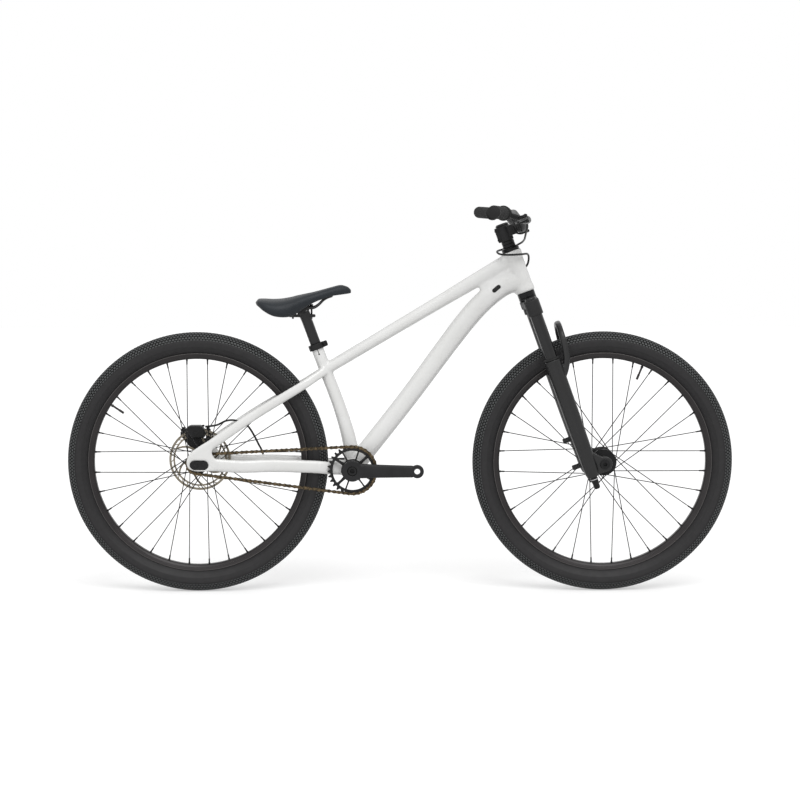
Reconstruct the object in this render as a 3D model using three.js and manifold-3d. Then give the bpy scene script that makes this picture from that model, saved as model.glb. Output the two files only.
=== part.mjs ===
// Dirt jump bike: rigid frame, short-travel suspension fork, one gear, rear disc brake.
// Millimetres. +X is forward, +Z is up and the drive side is at -Y. The origin is on the
// ground, midway between the axles.
import * as THREE from 'three';
import { mergeVertices } from 'three/addons/utils/BufferGeometryUtils.js';
import Module from 'manifold-3d';

const wasm = await Module();
wasm.setup();

// Fits
const fit = 0.3; // air between neighbouring pieces
const overrun = 2; // how far a cutting shape passes a surface
const lap = 1; // how far joined shapes reach into each other

// Wheels
const wheelbase = 1041;
const wheelRadius = 335;
const tyreWidth = 54;
const rimBedRadius = 266;
const rimHeight = 15;
const rimEdgeRadius = rimBedRadius + rimHeight;
const rimWidth = 30;
const rimBedWidth = 15;
const rimWall = 2;
const rimFloor = 7;
const beadWidth = 4;
const valveRadius = 3;
const valveLength = 38;
const spokeRadius = 0.9;
const spokeCount = 32;
const spokeCrosses = 3;
const spokeOuterRow = 4.2; // off the rim's middle, as is the next one
const spokeInnerRow = 1.2;
const frontValveTurn = 1 / 16;
const rearValveTurn = -5 / 32;

// Front hub and axle
const frontHubHalf = 55;
const frontHubRadius = 19;
const frontEndRadius = 16;
const frontFlangeRadius = 34;
const frontFlangeOffset = 28;
const frontAxleRadius = 10;
const flangeThick = 5;
const hubWaist = 6;

// Rear hub, driver, cog and rotor
const rearHubHalf = 67.5;
const rearHubRadius = 16;
const rearFlangeRadius = 29;
const driveFlangeOffset = 22;
const discFlangeOffset = 32;
const hubDriveEnd = 32;
const hubDriveRadius = 20;
const rearAxleRadius = 5;
const rearEndRadius = 9.5;
const rotorBossRadius = 24;
const rotorNoseRadius = 16.5;
const rotorNose = 3;
const rotorY = 50;
const rotorThick = 1.8;
const rotorRadius = 80;
const rotorTrack = 15;
const rotorArmWidth = 9;
const rotorArms = 6;
const rotorSweepShare = 0.35;
const driverRadius = 15;
const driverEnd = 60;

// Drive
const ringTeeth = 30;
const cogTeeth = 12;
const pitch = 12.7;
const chainline = 50;
const sprocketThick = 2.8;
const rollerRadius = 3.3;
const chainGap = 1.7; // half the room between inner plates
const chainPlate = 1.1;
const chainPlateHalf = 3.3;
const chainBandHalf = 4.1;
const toothRise = 3;
const toothDrop = 4.3;
const toothRootHalf = 3.6;
const toothTipHalf = 0.9;
const ringRimDepth = 10;
const ringHubRadius = 29;
const ringArmWidth = 7;

// Cranks and bottom bracket
const crankLength = 165;
const crankEndRadius = 17;
const crankRootHalf = 19;
const crankTipHalf = 16;
const crankThick = 13;
const crankFlare = 12;
const crankBossRadius = 27;
const crankBossFace = 72;
const crankBossBack = 55;
const pedalHoleRadius = 7.3;
const spindleRadius = 12;
const crankBoltRadius = 11;
const crankBoltHead = 3;
const crankHexRadius = 5;
const bbDrop = 16.4;
const chainstay = 398.4;
const bbShellHalf = 36.5;
const bbShellRadius = 23;
const bbBoreRadius = 17.3;
const bbCupRadius = 21.5;
const bbCupWide = 9;
const bbCupDeep = 16;

// Steering axis and fork
const headTilt = THREE.MathUtils.degToRad(19.8);
const forkRake = 40;
const forkLength = 478; // lower end of the head tube to the axle, along the steering axis
const forkTravel = 100;
const lowerStack = 20;
const legSpan = 130;
const legAhead = 2;
const stanchionRadius = 16;
const crownHeight = 41;
const crownBridge = 21;
const crownDepth = 46;
const socketRadius = 20;
const crownRadius = 24;
const legTop = 182; // below the head tube's lower end, as the next four are
const legBottom = forkLength + 19;
const stanchionEnd = forkLength - 148;
const legBoreEnd = forkLength - 33;
const archTop = 103;
const legRadius = 21.5;
const legFootRadius = 19;
const wiperHeight = 6;
const archHalfDepth = 8.5;
const archHalfThick = 7.5;
const archAhead = 51;
const archFoot = 222;
const archFootAhead = 22;
const lugRadius = 20;
const lugThick = 16;
const axleHeadRadius = 12.5;
const axleHeadThick = 3;
const postRadius = 7;
const postReach = 36;
const postSpacing = 74;
const postY = 57;
const footCapRadius = 9;
const footCapLength = 34;
const topCapRadius = 14;
const topCapHeight = 6;
const steererRadius = 14.3;

// Headset and cockpit
const hoseSpan = 100; // the size that the hoses' tables are shares of
const headTubeLength = 111;
const headTubeRadius = 24.6;
const headBoreRadius = 19;
const cupHeight = 13;
const cupDeep = 9;
const cupRadius = 22.5;
const bearingRadius = 17;
const bearingHeight = 7;
const topCoverHeight = 11;
const spacerRadius = 16.5;
const spacerHeight = 8;
const spacerCount = 2;
const stemHeight = 40;
const stemClampRadius = 18;
const stemReach = 42;
const stemRise = 4;
const barClampHalf = 26;
const barClampRadius = 21;
const barCentreRadius = 15.9;
const barRadius = 11.1;
const barHalf = 380;
const barRise = 36;
const barBendAt = 110;
const barBack = 69;
const barLift = 63;
const gripLength = 130;
const gripRadius = 16;
const gripFlange = 19;
const gripFlangeWide = 4;
const gripEnd = 3;
const topCapThick = 6;
const boltRadius = 2.5;
const boltHeadRadius = 4.2;
const boltHead = 4;

// Brake lever on the right of the bar
const leverClampAt = barHalf - gripLength - 24;
const leverClampRadius = 16.5;
const leverClampWide = 14;
const masterAhead = 35;
const masterBelow = 28;
const masterRadius = 10.5;
const masterLength = 84;
const masterInner = leverClampAt - 76;
const leverBladeLength = 112;
const leverBladeHalf = 6;
const leverBladeThin = 3.2;
const leverPinRadius = 2.5;
const leverEyeRadius = 7;
const leverForkGap = 8;

// Seat tube, post and saddle
const seatTilt = THREE.MathUtils.degToRad(20);
const seatTubeBack = 89.3; // from the bottom bracket to the top of the seat tube
const seatTubeHeight = 307.4;
const seatTubeRadius = 15.9;
const postTubeRadius = 13.6;
const postInsert = 76;
const postBore = 112;
const postExtension = 113; // seat tube top to the clamp's centre
const collarHeight = 15;
const collarWall = 4.5;
const collarTab = 9;
const railSpacing = 44;
const railRadius = 3.5;
const clampHalf = 17;
const clampRadius = 14;
const clampLength = 34;
const clampPlate = 6;
const headHalfWidth = 14;
const headRadius = 19;
const clampBoltAt = 24;
const clampBoltDrop = 25;
const clampBoltPlay = 5.2;
const earHalf = 6.5;
const earThick = 8;
const headTrim = 5;
const saddleLength = 242;
const saddleWidth = 136;
const saddleBack = 117; // from the clamp's centre to the tail
const saddleRise = 26; // from the clamp's centre to the top over it
const saddleNoseRise = 30;
const padThick = 14;
const shellThick = 3;
const wingDrop = 50;

// Frame tubes
const topTubeHalf = 14.5;
const topTubeHeadHalf = 20;
const topTubeHalfWide = 17;
const downTubeHalf = 24;
const downTubeHeadHalf = 26;
const downTubeHalfWide = 23;
const topTubeJoin = 19; // down the head tube from its top
const downTubeJoin = 32; // up the head tube from its lower end
const seatJoinDrop = 57; // down the seat tube from its top
const stayHalfWide = 7.5;
const stayTailForward = 46;
const seatstayTailUp = 38;
const seatstayTailForward = 20;
const chainstayHalfWide = 8.5;
const chainstayHalf = 16.7;
const seatstayHalf = 13.5;
const seatstayTopHalf = 11.2;
const dropoutInner = 67.8;
const dropoutThick = 8;
const dropoutRadius = 24.6;
const insertLength = 45.5;
const insertHeight = 22;
const insertAhead = 9;
const portLength = 26;
const portHeight = 11;
const portDepth = 3;
const portUp = 34; // along and behind the steering axis
const portBehind = 68;

// Rear brake
const caliperInner = 36;
const caliperOuter = 68;
const caliperBack = 36;
const caliperLength = 50;
const caliperLow = 57;
const caliperHigh = 90;
const caliperSlotTop = 82;
const caliperSlot = 8.4;
const caliperLug = 14;
const caliperLugHigh = 80;
const caliperLugThick = 8;
const padLength = 26;
const padHeight = 14;
const padLow = 62;
const padSpring = 1;
const bracketThick = 4;
const bracketLugWide = 9.6;
const standoffRadius = 4.5;
const bracketY = 53.4;
const caliperBoltY = 59;
const hoseRadius = 2.6;

// Squareness of the lofted sections, 2 for an ellipse
const tubeSquareness = 2.5;
const staySquareness = 2.8;
const crankSquareness = 3.5;
const crownSquareness = 3;
const archSquareness = 2.8;
const leverSquareness = 2.6;

// Derived places
const frontAxle = new THREE.Vector3(wheelbase / 2, 0, wheelRadius);
const rearAxle = new THREE.Vector3(-wheelbase / 2, 0, wheelRadius);
const bbForward = Math.sqrt(chainstay ** 2 - bbDrop ** 2);
const bottomBracket = new THREE.Vector3(rearAxle.x + bbForward, 0, wheelRadius - bbDrop);
const steerUp = new THREE.Vector3(-Math.sin(headTilt), 0, Math.cos(headTilt));
const steerAhead = new THREE.Vector3(Math.cos(headTilt), 0, Math.sin(headTilt));
const headLow = frontAxle.clone().addScaledVector(steerUp, forkLength);
headLow.addScaledVector(steerAhead, -forkRake);
const seatTop = new THREE.Vector3(-seatTubeBack, 0, seatTubeHeight).add(bottomBracket);
const postUp = new THREE.Vector3(-Math.sin(seatTilt), 0, Math.cos(seatTilt));
const clampCentre = seatTop.clone().addScaledVector(postUp, postExtension);

// Finishes
const whitePaint = { color: 0xf2f2f0, roughness: 0.3, metalness: 0 };
const blackAlloy = { color: 0x1b1b1d, roughness: 0.45, metalness: 0.6 };
const blackPaint = { color: 0x202022, roughness: 0.5, metalness: 0.1 };
const blackRubber = { color: 0x18181a, roughness: 0.85, metalness: 0 };
const darkSlate = { color: 0x2b3338, roughness: 0.7, metalness: 0 };
const brightSteel = { color: 0xb9b6ad, roughness: 0.3, metalness: 1 };
const bronzeSteel = { color: 0x7a6443, roughness: 0.4, metalness: 1 };
const blackSteel = { color: 0x2a2a2c, roughness: 0.4, metalness: 0.9 };
const greyAlloy = { color: 0x7d7f82, roughness: 0.4, metalness: 0.8 };

// Solids: shapes become closed solids that can be joined and cut
function solidOf(geometry) {
  const bare = geometry.clone();
  bare.deleteAttribute('normal');
  bare.deleteAttribute('uv');
  const welded = mergeVertices(bare);
  const index = welded.index.array;
  const triVerts = [];
  for (let i = 0; i < index.length; i += 3) {
    const [a, b, c] = [index[i], index[i + 1], index[i + 2]];
    if (a !== b && b !== c && c !== a) {
      triVerts.push(a, b, c);
    }
  }
  const vertProperties = new Float32Array(welded.attributes.position.array);
  return new wasm.Manifold(new wasm.Mesh({
    numProp: 3,
    vertProperties,
    triVerts: new Uint32Array(triVerts),
  }));
}

function fuse(geometries) {
  return geometries.map(solidOf).reduce((whole, piece) => whole.add(piece));
}

function cut(body, geometries) {
  return geometries.map(solidOf).reduce((whole, tool) => whole.subtract(tool), body);
}

function geometryOf(solid) {
  const mesh = solid.getMesh();
  const geometry = new THREE.BufferGeometry();
  geometry.setAttribute('position', new THREE.BufferAttribute(mesh.vertProperties, 3));
  geometry.setIndex(new THREE.BufferAttribute(mesh.triVerts, 1));
  geometry.computeVertexNormals();
  return geometry;
}

function piece(name, shape, finish) {
  const geometry = shape.isBufferGeometry ? shape : geometryOf(shape);
  const mesh = new THREE.Mesh(geometry, new THREE.MeshStandardMaterial(finish));
  mesh.name = name;
  return mesh;
}

// The radius of a hole with so many sides that clears a round piece
function room(radius, sides) {
  return (radius + fit) / Math.cos(Math.PI / sides);
}

// Basic shapes
function at(shape, x, y, z) {
  return shape.isBufferGeometry ? shape.translate(x, y, z) : shape.translate([x, y, z]);
}

// A revolved ring or disc about Y, from a closed profile of [radius, y], the outer wall going up
function turned(profile, segments) {
  const points = [...profile, profile[0]].map(([r, y]) => new THREE.Vector2(r, y));
  return new THREE.LatheGeometry(points, segments);
}

function turnedUpright(profile, segments) {
  return turned(profile, segments).rotateX(Math.PI / 2);
}

function rod(radius, low, high, segments) {
  const geometry = new THREE.CylinderGeometry(radius, radius, high - low, segments);
  return geometry.translate(0, (low + high) / 2, 0);
}

function uprightRod(radius, low, high, segments) {
  return rod(radius, low, high, segments).rotateX(Math.PI / 2);
}

function block(xs, ys, zs) {
  const geometry = new THREE.BoxGeometry(xs[1] - xs[0], ys[1] - ys[0], zs[1] - zs[0]);
  return geometry.translate((xs[0] + xs[1]) / 2, (ys[0] + ys[1]) / 2, (zs[0] + zs[1]) / 2);
}

// A flat plate: an outline in X and Z, carried along Y from low to high
function plate(shape, low, high) {
  const settings = { depth: high - low, bevelEnabled: false, curveSegments: 4 };
  const geometry = new THREE.ExtrudeGeometry(shape, settings);
  return geometry.rotateX(Math.PI / 2).translate(0, high, 0);
}

function outline(points) {
  return new THREE.Shape(points.map(([x, z]) => new THREE.Vector2(x, z)));
}

function holeIn(shape, points) {
  shape.holes.push(new THREE.Path(points.map(([x, z]) => new THREE.Vector2(x, z))));
}

// Places along an arc about the origin, from one angle to another
function arc(radius, from, to, steps) {
  return Array.from({ length: steps + 1 }, (_, k) => {
    const angle = from + k * (to - from) / steps;
    return [radius * Math.cos(angle), radius * Math.sin(angle)];
  });
}

function circle(radius, sides) {
  return arc(radius, 0, 2 * Math.PI, sides).slice(1);
}

// A window between two arms, from the hub's radius out to the track's
function armWindow(shape, track, hub, start, end, armWidth) {
  const outer = armWidth / track / 2;
  const inner = armWidth / hub / 2;
  const far = arc(track, start + outer, end - outer, 2);
  holeIn(shape, [...far, ...arc(hub, end - inner, start + inner, 1)]);
}

function slotShape(length, height, x, z) {
  const reach = (length - height) / 2;
  const right = arc(height / 2, -Math.PI / 2, Math.PI / 2, 3).map(([a, b]) => [x + reach + a, z + b]);
  const left = arc(height / 2, Math.PI / 2, 1.5 * Math.PI, 3).map(([a, b]) => [x - reach + a, z + b]);
  return outline([...right, ...left]);
}

// A lofted tube: each station has its centre and its half sizes across (level) and tall, and the
// section is a superellipse, 2 for an ellipse and more for a squarer one
function lofted(stations, sides, squareness = 2) {
  const centres = stations.map((station) => station.at);
  const positions = [];
  const index = [];
  stations.forEach((station, i) => {
    const before = centres[Math.max(i - 1, 0)];
    const after = centres[Math.min(i + 1, centres.length - 1)];
    const ahead = after.clone().sub(before).normalize();
    const across = station.across ?? new THREE.Vector3(0, 1, 0);
    const tall = across.clone().cross(ahead).normalize();
    const wide = ahead.clone().cross(tall);
    for (let k = 0; k < sides; k += 1) {
      const angle = (k + 0.5) * 2 * Math.PI / sides;
      const c = Math.sign(Math.cos(angle)) * Math.abs(Math.cos(angle)) ** (2 / squareness);
      const s = Math.sign(Math.sin(angle)) * Math.abs(Math.sin(angle)) ** (2 / squareness);
      const point = station.at.clone().addScaledVector(wide, -c * station.wide);
      point.addScaledVector(tall, s * station.tall);
      positions.push(point.x, point.y, point.z);
    }
  });
  for (let i = 0; i + 1 < stations.length; i += 1) {
    for (let k = 0; k < sides; k += 1) {
      const a = i * sides + k;
      const b = i * sides + (k + 1) % sides;
      index.push(a, b, b + sides, a, b + sides, a + sides);
    }
  }
  const last = (stations.length - 1) * sides;
  for (let k = 1; k + 1 < sides; k += 1) {
    index.push(0, k + 1, k, last, last + k, last + k + 1);
  }
  const geometry = new THREE.BufferGeometry();
  geometry.setAttribute('position', new THREE.Float32BufferAttribute(positions, 3));
  geometry.setIndex(index);
  return geometry;
}

// Places along a bowed tube in the bike's plane: shares of its span along it and across it
function bowed(start, end, along, bow) {
  const span = end.clone().sub(start);
  const across = new THREE.Vector3(span.z, 0, -span.x);
  return start.clone().addScaledVector(span, along).addScaledVector(across, bow);
}

// A hose: a round section carried along a smooth curve through its places
function hose(places, radius, steps) {
  const section = outline(circle(radius, 8));
  const extrudePath = new THREE.CatmullRomCurve3(places);
  return new THREE.ExtrudeGeometry(section, { extrudePath, steps });
}

// Wheels
const wheelSegments = 28;
const wheelFlat = Math.cos(Math.PI / wheelSegments);
const hubFlat = Math.cos(Math.PI / 12);
const tyreOutsideShares = [[1, 0.3], [0.87, 0.84], [0.5, 1]];
const tyreInsideShares = [[0.45, 0.84], [0.87, 0.56]];

function tyre() {
  const height = wheelRadius - rimEdgeRadius;
  const place = ([up, out]) => [rimEdgeRadius + up * height, out * tyreWidth / 2];
  const bead = rimWidth / 2 - rimWall - fit;
  const floor = rimBedRadius + rimFloor + fit;
  const half = [
    ...tyreOutsideShares.map(place), [rimEdgeRadius + 2 * fit, bead], [floor, bead],
    [floor, bead - beadWidth], ...tyreInsideShares.map(place),
  ];
  const tread = tyreOutsideShares.length + 2;
  const mirrored = half.map(([r, y]) => [r, -y]).reverse();
  const outside = mirrored.slice(-tread).concat(half.slice(0, tread));
  return turned([...outside, ...half.slice(tread), ...mirrored.slice(0, -tread)], wheelSegments);
}

const tubeShares = [[0.1, 0.25], [0.5, 0.7], [0.78, 0.25]];
const tubeSegments = 12;

function innerTube() {
  const height = wheelRadius - rimEdgeRadius;
  const right = tubeShares.map(([up, out]) => [rimEdgeRadius + up * height, out * tyreWidth / 2]);
  const left = right.map(([r, y]) => [r, -y]);
  return turned([...left, ...right.reverse()], tubeSegments);
}

function rim() {
  const bed = rimBedWidth / 2;
  const edge = rimWidth / 2;
  const floor = rimBedRadius + rimFloor;
  const profile = [
    [rimBedRadius, -bed], [rimEdgeRadius - rimWall / 2, -edge], [rimEdgeRadius, rimWall - edge],
    [floor, rimWall - edge], [floor, edge - rimWall], [rimEdgeRadius, edge - rimWall],
    [rimEdgeRadius - rimWall / 2, edge], [rimBedRadius, bed],
  ];
  return turned(profile, wheelSegments);
}

// The tube's valve stands on the inside of the rim, a turn share ahead of its top
function valve(turnShare) {
  const seat = rimBedRadius * wheelFlat - fit;
  return uprightRod(valveRadius, seat - valveLength, seat, 8).rotateY(turnShare * 2 * Math.PI);
}

// One spoke from its flange to its hole in the rim bed, both given as turns round the wheel
function spoke(hubRadius, hubY, hubTurn, rimTurn, rimY) {
  const place = (radius, turnShare, y) => {
    const angle = turnShare * 2 * Math.PI;
    return new THREE.Vector3(radius * Math.cos(angle), y, radius * Math.sin(angle));
  };
  const inner = place(hubRadius, hubTurn, hubY);
  const outer = place(rimBedRadius * wheelFlat - 2 * fit, rimTurn, rimY);
  const length = inner.distanceTo(outer);
  const geometry = new THREE.CylinderGeometry(spokeRadius, spokeRadius, length, 3);
  const way = outer.clone().sub(inner).normalize();
  geometry.applyQuaternion(new THREE.Quaternion().setFromUnitVectors(THREE.Object3D.DEFAULT_UP, way));
  const middle = inner.add(outer).multiplyScalar(0.5);
  return geometry.translate(middle.x, middle.y, middle.z);
}

// Laced spokes: on each side every other spoke leads and the rest trail, in a row of their own
function spokes(flangeRadius, lowFlange, highFlange) {
  const laced = [];
  const crossTurn = spokeCrosses / (spokeCount / 2);
  for (let k = 0; k < spokeCount; k += 1) {
    const high = k % 2 === 1;
    const leads = Math.floor(k / 2) % 2 === 1;
    const rimTurn = (k + 0.5) / spokeCount;
    const hubTurn = leads ? rimTurn - crossTurn : rimTurn + crossTurn;
    const outward = high ? 1 : -1;
    const flange = high ? highFlange : lowFlange;
    const row = (leads ? 1 : -1) * (spokeRadius + fit);
    const rimRow = leads ? spokeOuterRow : spokeInnerRow;
    laced.push(spoke(flangeRadius * hubFlat - lap, outward * (flange + row), hubTurn, rimTurn,
      outward * rimRow));
  }
  return laced;
}

function frontHub() {
  const half = flangeThick / 2;
  const bore = room(frontAxleRadius, 12);
  const end = frontHubHalf - fit;
  const right = [
    [frontHubRadius, frontFlangeOffset - half - hubWaist],
    [frontFlangeRadius, frontFlangeOffset - half], [frontFlangeRadius, frontFlangeOffset + half],
    [frontEndRadius, frontFlangeOffset + half], [frontEndRadius, end], [bore, end],
  ];
  const left = right.map(([r, y]) => [r, -y]).reverse();
  const shell = turned([...left, ...right], 12);
  return fuse([shell, ...spokes(frontFlangeRadius, frontFlangeOffset, frontFlangeOffset)]);
}

function rearHub() {
  const half = flangeThick / 2;
  const bore = rearAxleRadius + fit;
  const profile = [
    [bore, -hubDriveEnd], [hubDriveRadius, -hubDriveEnd], [hubDriveRadius, -driveFlangeOffset - half],
    [rearFlangeRadius, -driveFlangeOffset - half], [rearFlangeRadius, half - driveFlangeOffset],
    [rearHubRadius, half + hubWaist - driveFlangeOffset],
    [rearHubRadius, discFlangeOffset - half - hubWaist],
    [rearFlangeRadius, discFlangeOffset - half], [rearFlangeRadius, discFlangeOffset + half],
    [rotorBossRadius, discFlangeOffset + half], [rotorBossRadius, rotorY],
    [rotorNoseRadius, rotorY], [rotorNoseRadius, rotorY + rotorNose],
    [rearEndRadius, rotorY + rotorNose], [rearEndRadius, rearHubHalf - fit], [bore, rearHubHalf - fit],
  ];
  const shell = turned(profile, 12);
  return fuse([shell, ...spokes(rearFlangeRadius, driveFlangeOffset, discFlangeOffset)]);
}

// Disc brake rotor: a track carried by swept arms on a bolting ring
function rotor() {
  const shape = outline(circle(rotorRadius, 28));
  holeIn(shape, circle(rotorNoseRadius + fit, 12));
  const track = rotorRadius - rotorTrack;
  const wide = 2 * Math.PI / rotorArms;
  for (let k = 0; k < rotorArms; k += 1) {
    const outer = rotorArmWidth / track / 2;
    const inner = rotorArmWidth / rotorBossRadius / 2;
    const swept = k + rotorSweepShare;
    const far = arc(track, swept * wide + outer, (swept + 1) * wide - outer, 3);
    holeIn(shape, [...far, ...arc(rotorBossRadius + lap, (k + 1) * wide - inner, k * wide + inner, 2)]);
  }
  return plate(shape, rotorY + fit, rotorY + fit + rotorThick);
}

// A sprocket outline with one tooth between each pair of rollers
function toothed(teeth, turn) {
  const radius = pitch / 2 / Math.sin(Math.PI / teeth);
  const points = [];
  for (let k = 0; k < teeth; k += 1) {
    const middle = turn + (k + 0.5) * 2 * Math.PI / teeth;
    const corner = (rise, half) => {
      const angle = middle + half / (radius + rise);
      points.push([(radius + rise) * Math.cos(angle), (radius + rise) * Math.sin(angle)]);
    };
    corner(-toothDrop, -toothRootHalf);
    corner(toothRise, -toothTipHalf);
    corner(toothRise, toothTipHalf);
    corner(-toothDrop, toothRootHalf);
  }
  return outline(points);
}

function driveCog() {
  const low = -chainline - sprocketThick / 2;
  const high = sprocketThick / 2 - chainline;
  const teeth = plate(toothed(cogTeeth, chainRun().cogTurn), low, high);
  const body = rod(driverRadius, -driverEnd, -hubDriveEnd - fit, 12);
  const bore = rod(rearAxleRadius + fit, -driverEnd - overrun, overrun - hubDriveEnd, 12);
  return cut(fuse([teeth, body]), [bore]);
}

// The ring bolts straight to the crank, with open windows between its arms
const ringArmShares = [0.12, 0.2, 0.33, 0.405, 0.62, 0.695, 0.85, 0.93];

function chainring() {
  const shape = toothed(ringTeeth, chainRun().ringTurn);
  const radius = pitch / 2 / Math.sin(Math.PI / ringTeeth);
  ringArmShares.forEach((share, k) => {
    const next = k + 1 < ringArmShares.length ? ringArmShares[k + 1] : 1 + ringArmShares[0];
    armWindow(shape, radius - ringRimDepth, ringHubRadius, share * 2 * Math.PI, next * 2 * Math.PI,
      ringArmWidth);
  });
  holeIn(shape, circle(spindleRadius + fit, 12));
  return plate(shape, -chainline - sprocketThick / 2, sprocketThick / 2 - chainline);
}

// Chain: the pins stand at even steps round both sprockets and the two straight runs between them
function chainRun() {
  const ringRadius = pitch / 2 / Math.sin(Math.PI / ringTeeth);
  const cogRadius = pitch / 2 / Math.sin(Math.PI / cogTeeth);
  const line = bottomBracket.clone().sub(rearAxle);
  const lean = Math.asin((ringRadius - cogRadius) / line.length());
  const run = line.length() * Math.cos(lean);
  const ringWrap = ringRadius * (Math.PI + 2 * lean);
  const cogWrap = cogRadius * (Math.PI - 2 * lean);
  const total = 2 * run + ringWrap + cogWrap;
  const count = 2 * Math.round(total / pitch / 2);
  const step = total / count;
  const top = Math.atan2(line.z, line.x) + Math.PI / 2 + lean;
  const low = top - Math.PI - 2 * lean;
  const onArc = (centre, radius, angle) => [
    centre.x + radius * Math.cos(angle), centre.z + radius * Math.sin(angle),
  ];
  const onRun = ([x, z], along, way) => [x + along * Math.cos(way), z + along * Math.sin(way)];
  const place = (along) => {
    if (along < ringWrap) {
      return onArc(bottomBracket, ringRadius, top - along / ringRadius);
    }
    if (along < ringWrap + run) {
      return onRun(onArc(bottomBracket, ringRadius, low), along - ringWrap, low - Math.PI / 2);
    }
    if (along < ringWrap + run + cogWrap) {
      return onArc(rearAxle, cogRadius, low - (along - ringWrap - run) / cogRadius);
    }
    const rest = along - ringWrap - run - cogWrap;
    return onRun(onArc(rearAxle, cogRadius, top), rest, top - Math.PI / 2);
  };
  const onCog = Math.ceil((ringWrap + run) / step) * step - ringWrap - run;
  return {
    pins: Array.from({ length: count }, (_, k) => place(k * step)),
    ringTurn: top,
    cogTurn: low - onCog / cogRadius,
  };
}

// The inner plates of one side, joined into a band. Straight runs need no corners but their ends
function chainBand(pins, low, high) {
  const count = pins.length;
  const corners = pins.map((pin, k) => {
    const [before, after] = [pins[(k + count - 1) % count], pins[(k + 1) % count]];
    const across = new THREE.Vector2(before[1] - after[1], after[0] - before[0]).normalize();
    const bulge = across.x * (pin[0] - before[0]) + across.y * (pin[1] - before[1]);
    return { pin, across, bends: Math.abs(bulge) > pitch / 1000 };
  }).filter((corner) => corner.bends).reverse();
  const side = (half) => corners.map(({ pin, across }) => [
    pin[0] + half * across.x, pin[1] + half * across.y,
  ]);
  const shape = outline(side(chainBandHalf));
  holeIn(shape, side(-chainBandHalf));
  return plate(shape, low, high);
}

function chainOuterPlate(from, to, low, high) {
  const angle = Math.atan2(to[1] - from[1], to[0] - from[0]);
  const reach = Math.hypot(to[0] - from[0], to[1] - from[1]) / 2;
  const end = reach + chainPlateHalf * 0.6;
  const slab = block([-end, end], [low, high], [-chainPlateHalf, chainPlateHalf]);
  return slab.rotateY(-angle).translate((from[0] + to[0]) / 2, 0, (from[1] + to[1]) / 2);
}

function chain() {
  const { pins } = chainRun();
  const inner = chainGap + chainPlate;
  const outer = inner + chainPlate;
  const links = [chainBand(pins, chainGap, inner), chainBand(pins, -inner, -chainGap)];
  pins.forEach((from, k) => {
    const reach = chainGap + chainPlate / 2;
    links.push(rod(rollerRadius, -reach, reach, 3).translate(from[0], 0, from[1]));
    if (k % 2 === 0) {
      links.push(chainOuterPlate(from, pins[k + 1], inner, outer));
      links.push(chainOuterPlate(from, pins[k + 1], -outer, -inner));
    }
  });
  return fuse(links).translate([0, -chainline, 0]);
}

// Cranks
const crankShares = [[0, 0, 1], [0.2, 0.08, 1], [0.5, 0.45, 0.4], [0.75, 0.8, 0], [1, 1, 0.1]];

function crankArm(carriesRing) {
  const middle = crankBossFace - crankThick / 2;
  const arm = lofted(crankShares.map(([along, flare, tall]) => ({
    at: new THREE.Vector3(along * crankLength, -middle - flare * crankFlare, 0),
    wide: crankThick / 2,
    tall: crankTipHalf + tall * (crankRootHalf - crankTipHalf),
  })), 8, crankSquareness);
  const tip = middle + crankFlare;
  const eye = rod(crankEndRadius, -tip - crankThick / 2, crankThick / 2 - tip, 12);
  const boss = rod(crankBossRadius, -crankBossFace, -crankBossBack, 16);
  const parts = [arm, at(eye, crankLength, 0, 0), boss];
  if (carriesRing) {
    const seat = chainline + sprocketThick / 2 + fit;
    parts.push(rod(spindleRadius + crankBoltHead, -crankBossBack - lap, -seat, 12));
  }
  const hole = rod(pedalHoleRadius, -2 * tip, 0, 12);
  const bore = rod(spindleRadius + fit, -2 * tip, 0, 12);
  return cut(fuse(parts), [at(hole, crankLength, 0, 0), bore]);
}

function crankSpindle() {
  const inner = crankBossFace - crankBoltHead - lap;
  const bolts = rod(crankBoltRadius, -crankBossFace, crankBossFace, 12);
  const socket = crankBossFace - crankBoltHead / 2;
  return cut(fuse([rod(spindleRadius, -inner, inner, 12), bolts]), [
    rod(crankHexRadius, socket, crankBossFace + overrun, 6),
    rod(crankHexRadius, -crankBossFace - overrun, -socket, 6),
  ]);
}

function bottomBracketCup() {
  const shoulder = bbShellHalf + fit;
  const spindle = room(spindleRadius, 12);
  return turned([
    [spindle, shoulder - bbCupDeep], [bbBoreRadius - fit, shoulder - bbCupDeep],
    [bbBoreRadius - fit, shoulder], [bbCupRadius, shoulder], [bbCupRadius, shoulder + bbCupWide],
    [spindle, shoulder + bbCupWide],
  ], 12);
}

// Frame
const downTubeShares = [
  [0, 0, 0], [0.344, -0.022, 0], [0.649, -0.05, 0.7], [0.81, -0.057, 1], [0.93, -0.039, 0.9], [1, 0, 0.8],
];
const seatTubeShares = [
  [0, 0, 1], [0.2, -0.0132, 1], [0.5, -0.036, 1.02], [0.78, -0.036, 1.15], [1, 0, 1.25],
];
const chainstayShares = [
  [0, 0, 1], [0.2, 0.005, 0.9], [0.42, -0.008, 0.79], [0.72, -0.0105, 0.65], [0.84, -0.002, 0.5],
  [1, 0, 0.3],
];
const seatstayShares = [
  [0, 0, 1], [0.22, -0.008, 0.955], [0.45, -0.0115, 0.84], [0.8, 0, 0.62], [0.9, 0, 0.46], [1, 0, 0.2],
];

function headTube() {
  const flare = headTubeRadius * 0.04;
  const seat = cupDeep + fit;
  const shell = turnedUpright([
    [headBoreRadius, 0], [headTubeRadius + flare, 0], [headTubeRadius + flare, seat],
    [headTubeRadius - flare, 2 * seat], [headTubeRadius - flare, headTubeLength - 2 * seat],
    [headTubeRadius + flare, headTubeLength - seat], [headTubeRadius + flare, headTubeLength],
    [headBoreRadius, headTubeLength],
  ], 12);
  return placedOnSteering(shell);
}

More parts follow.
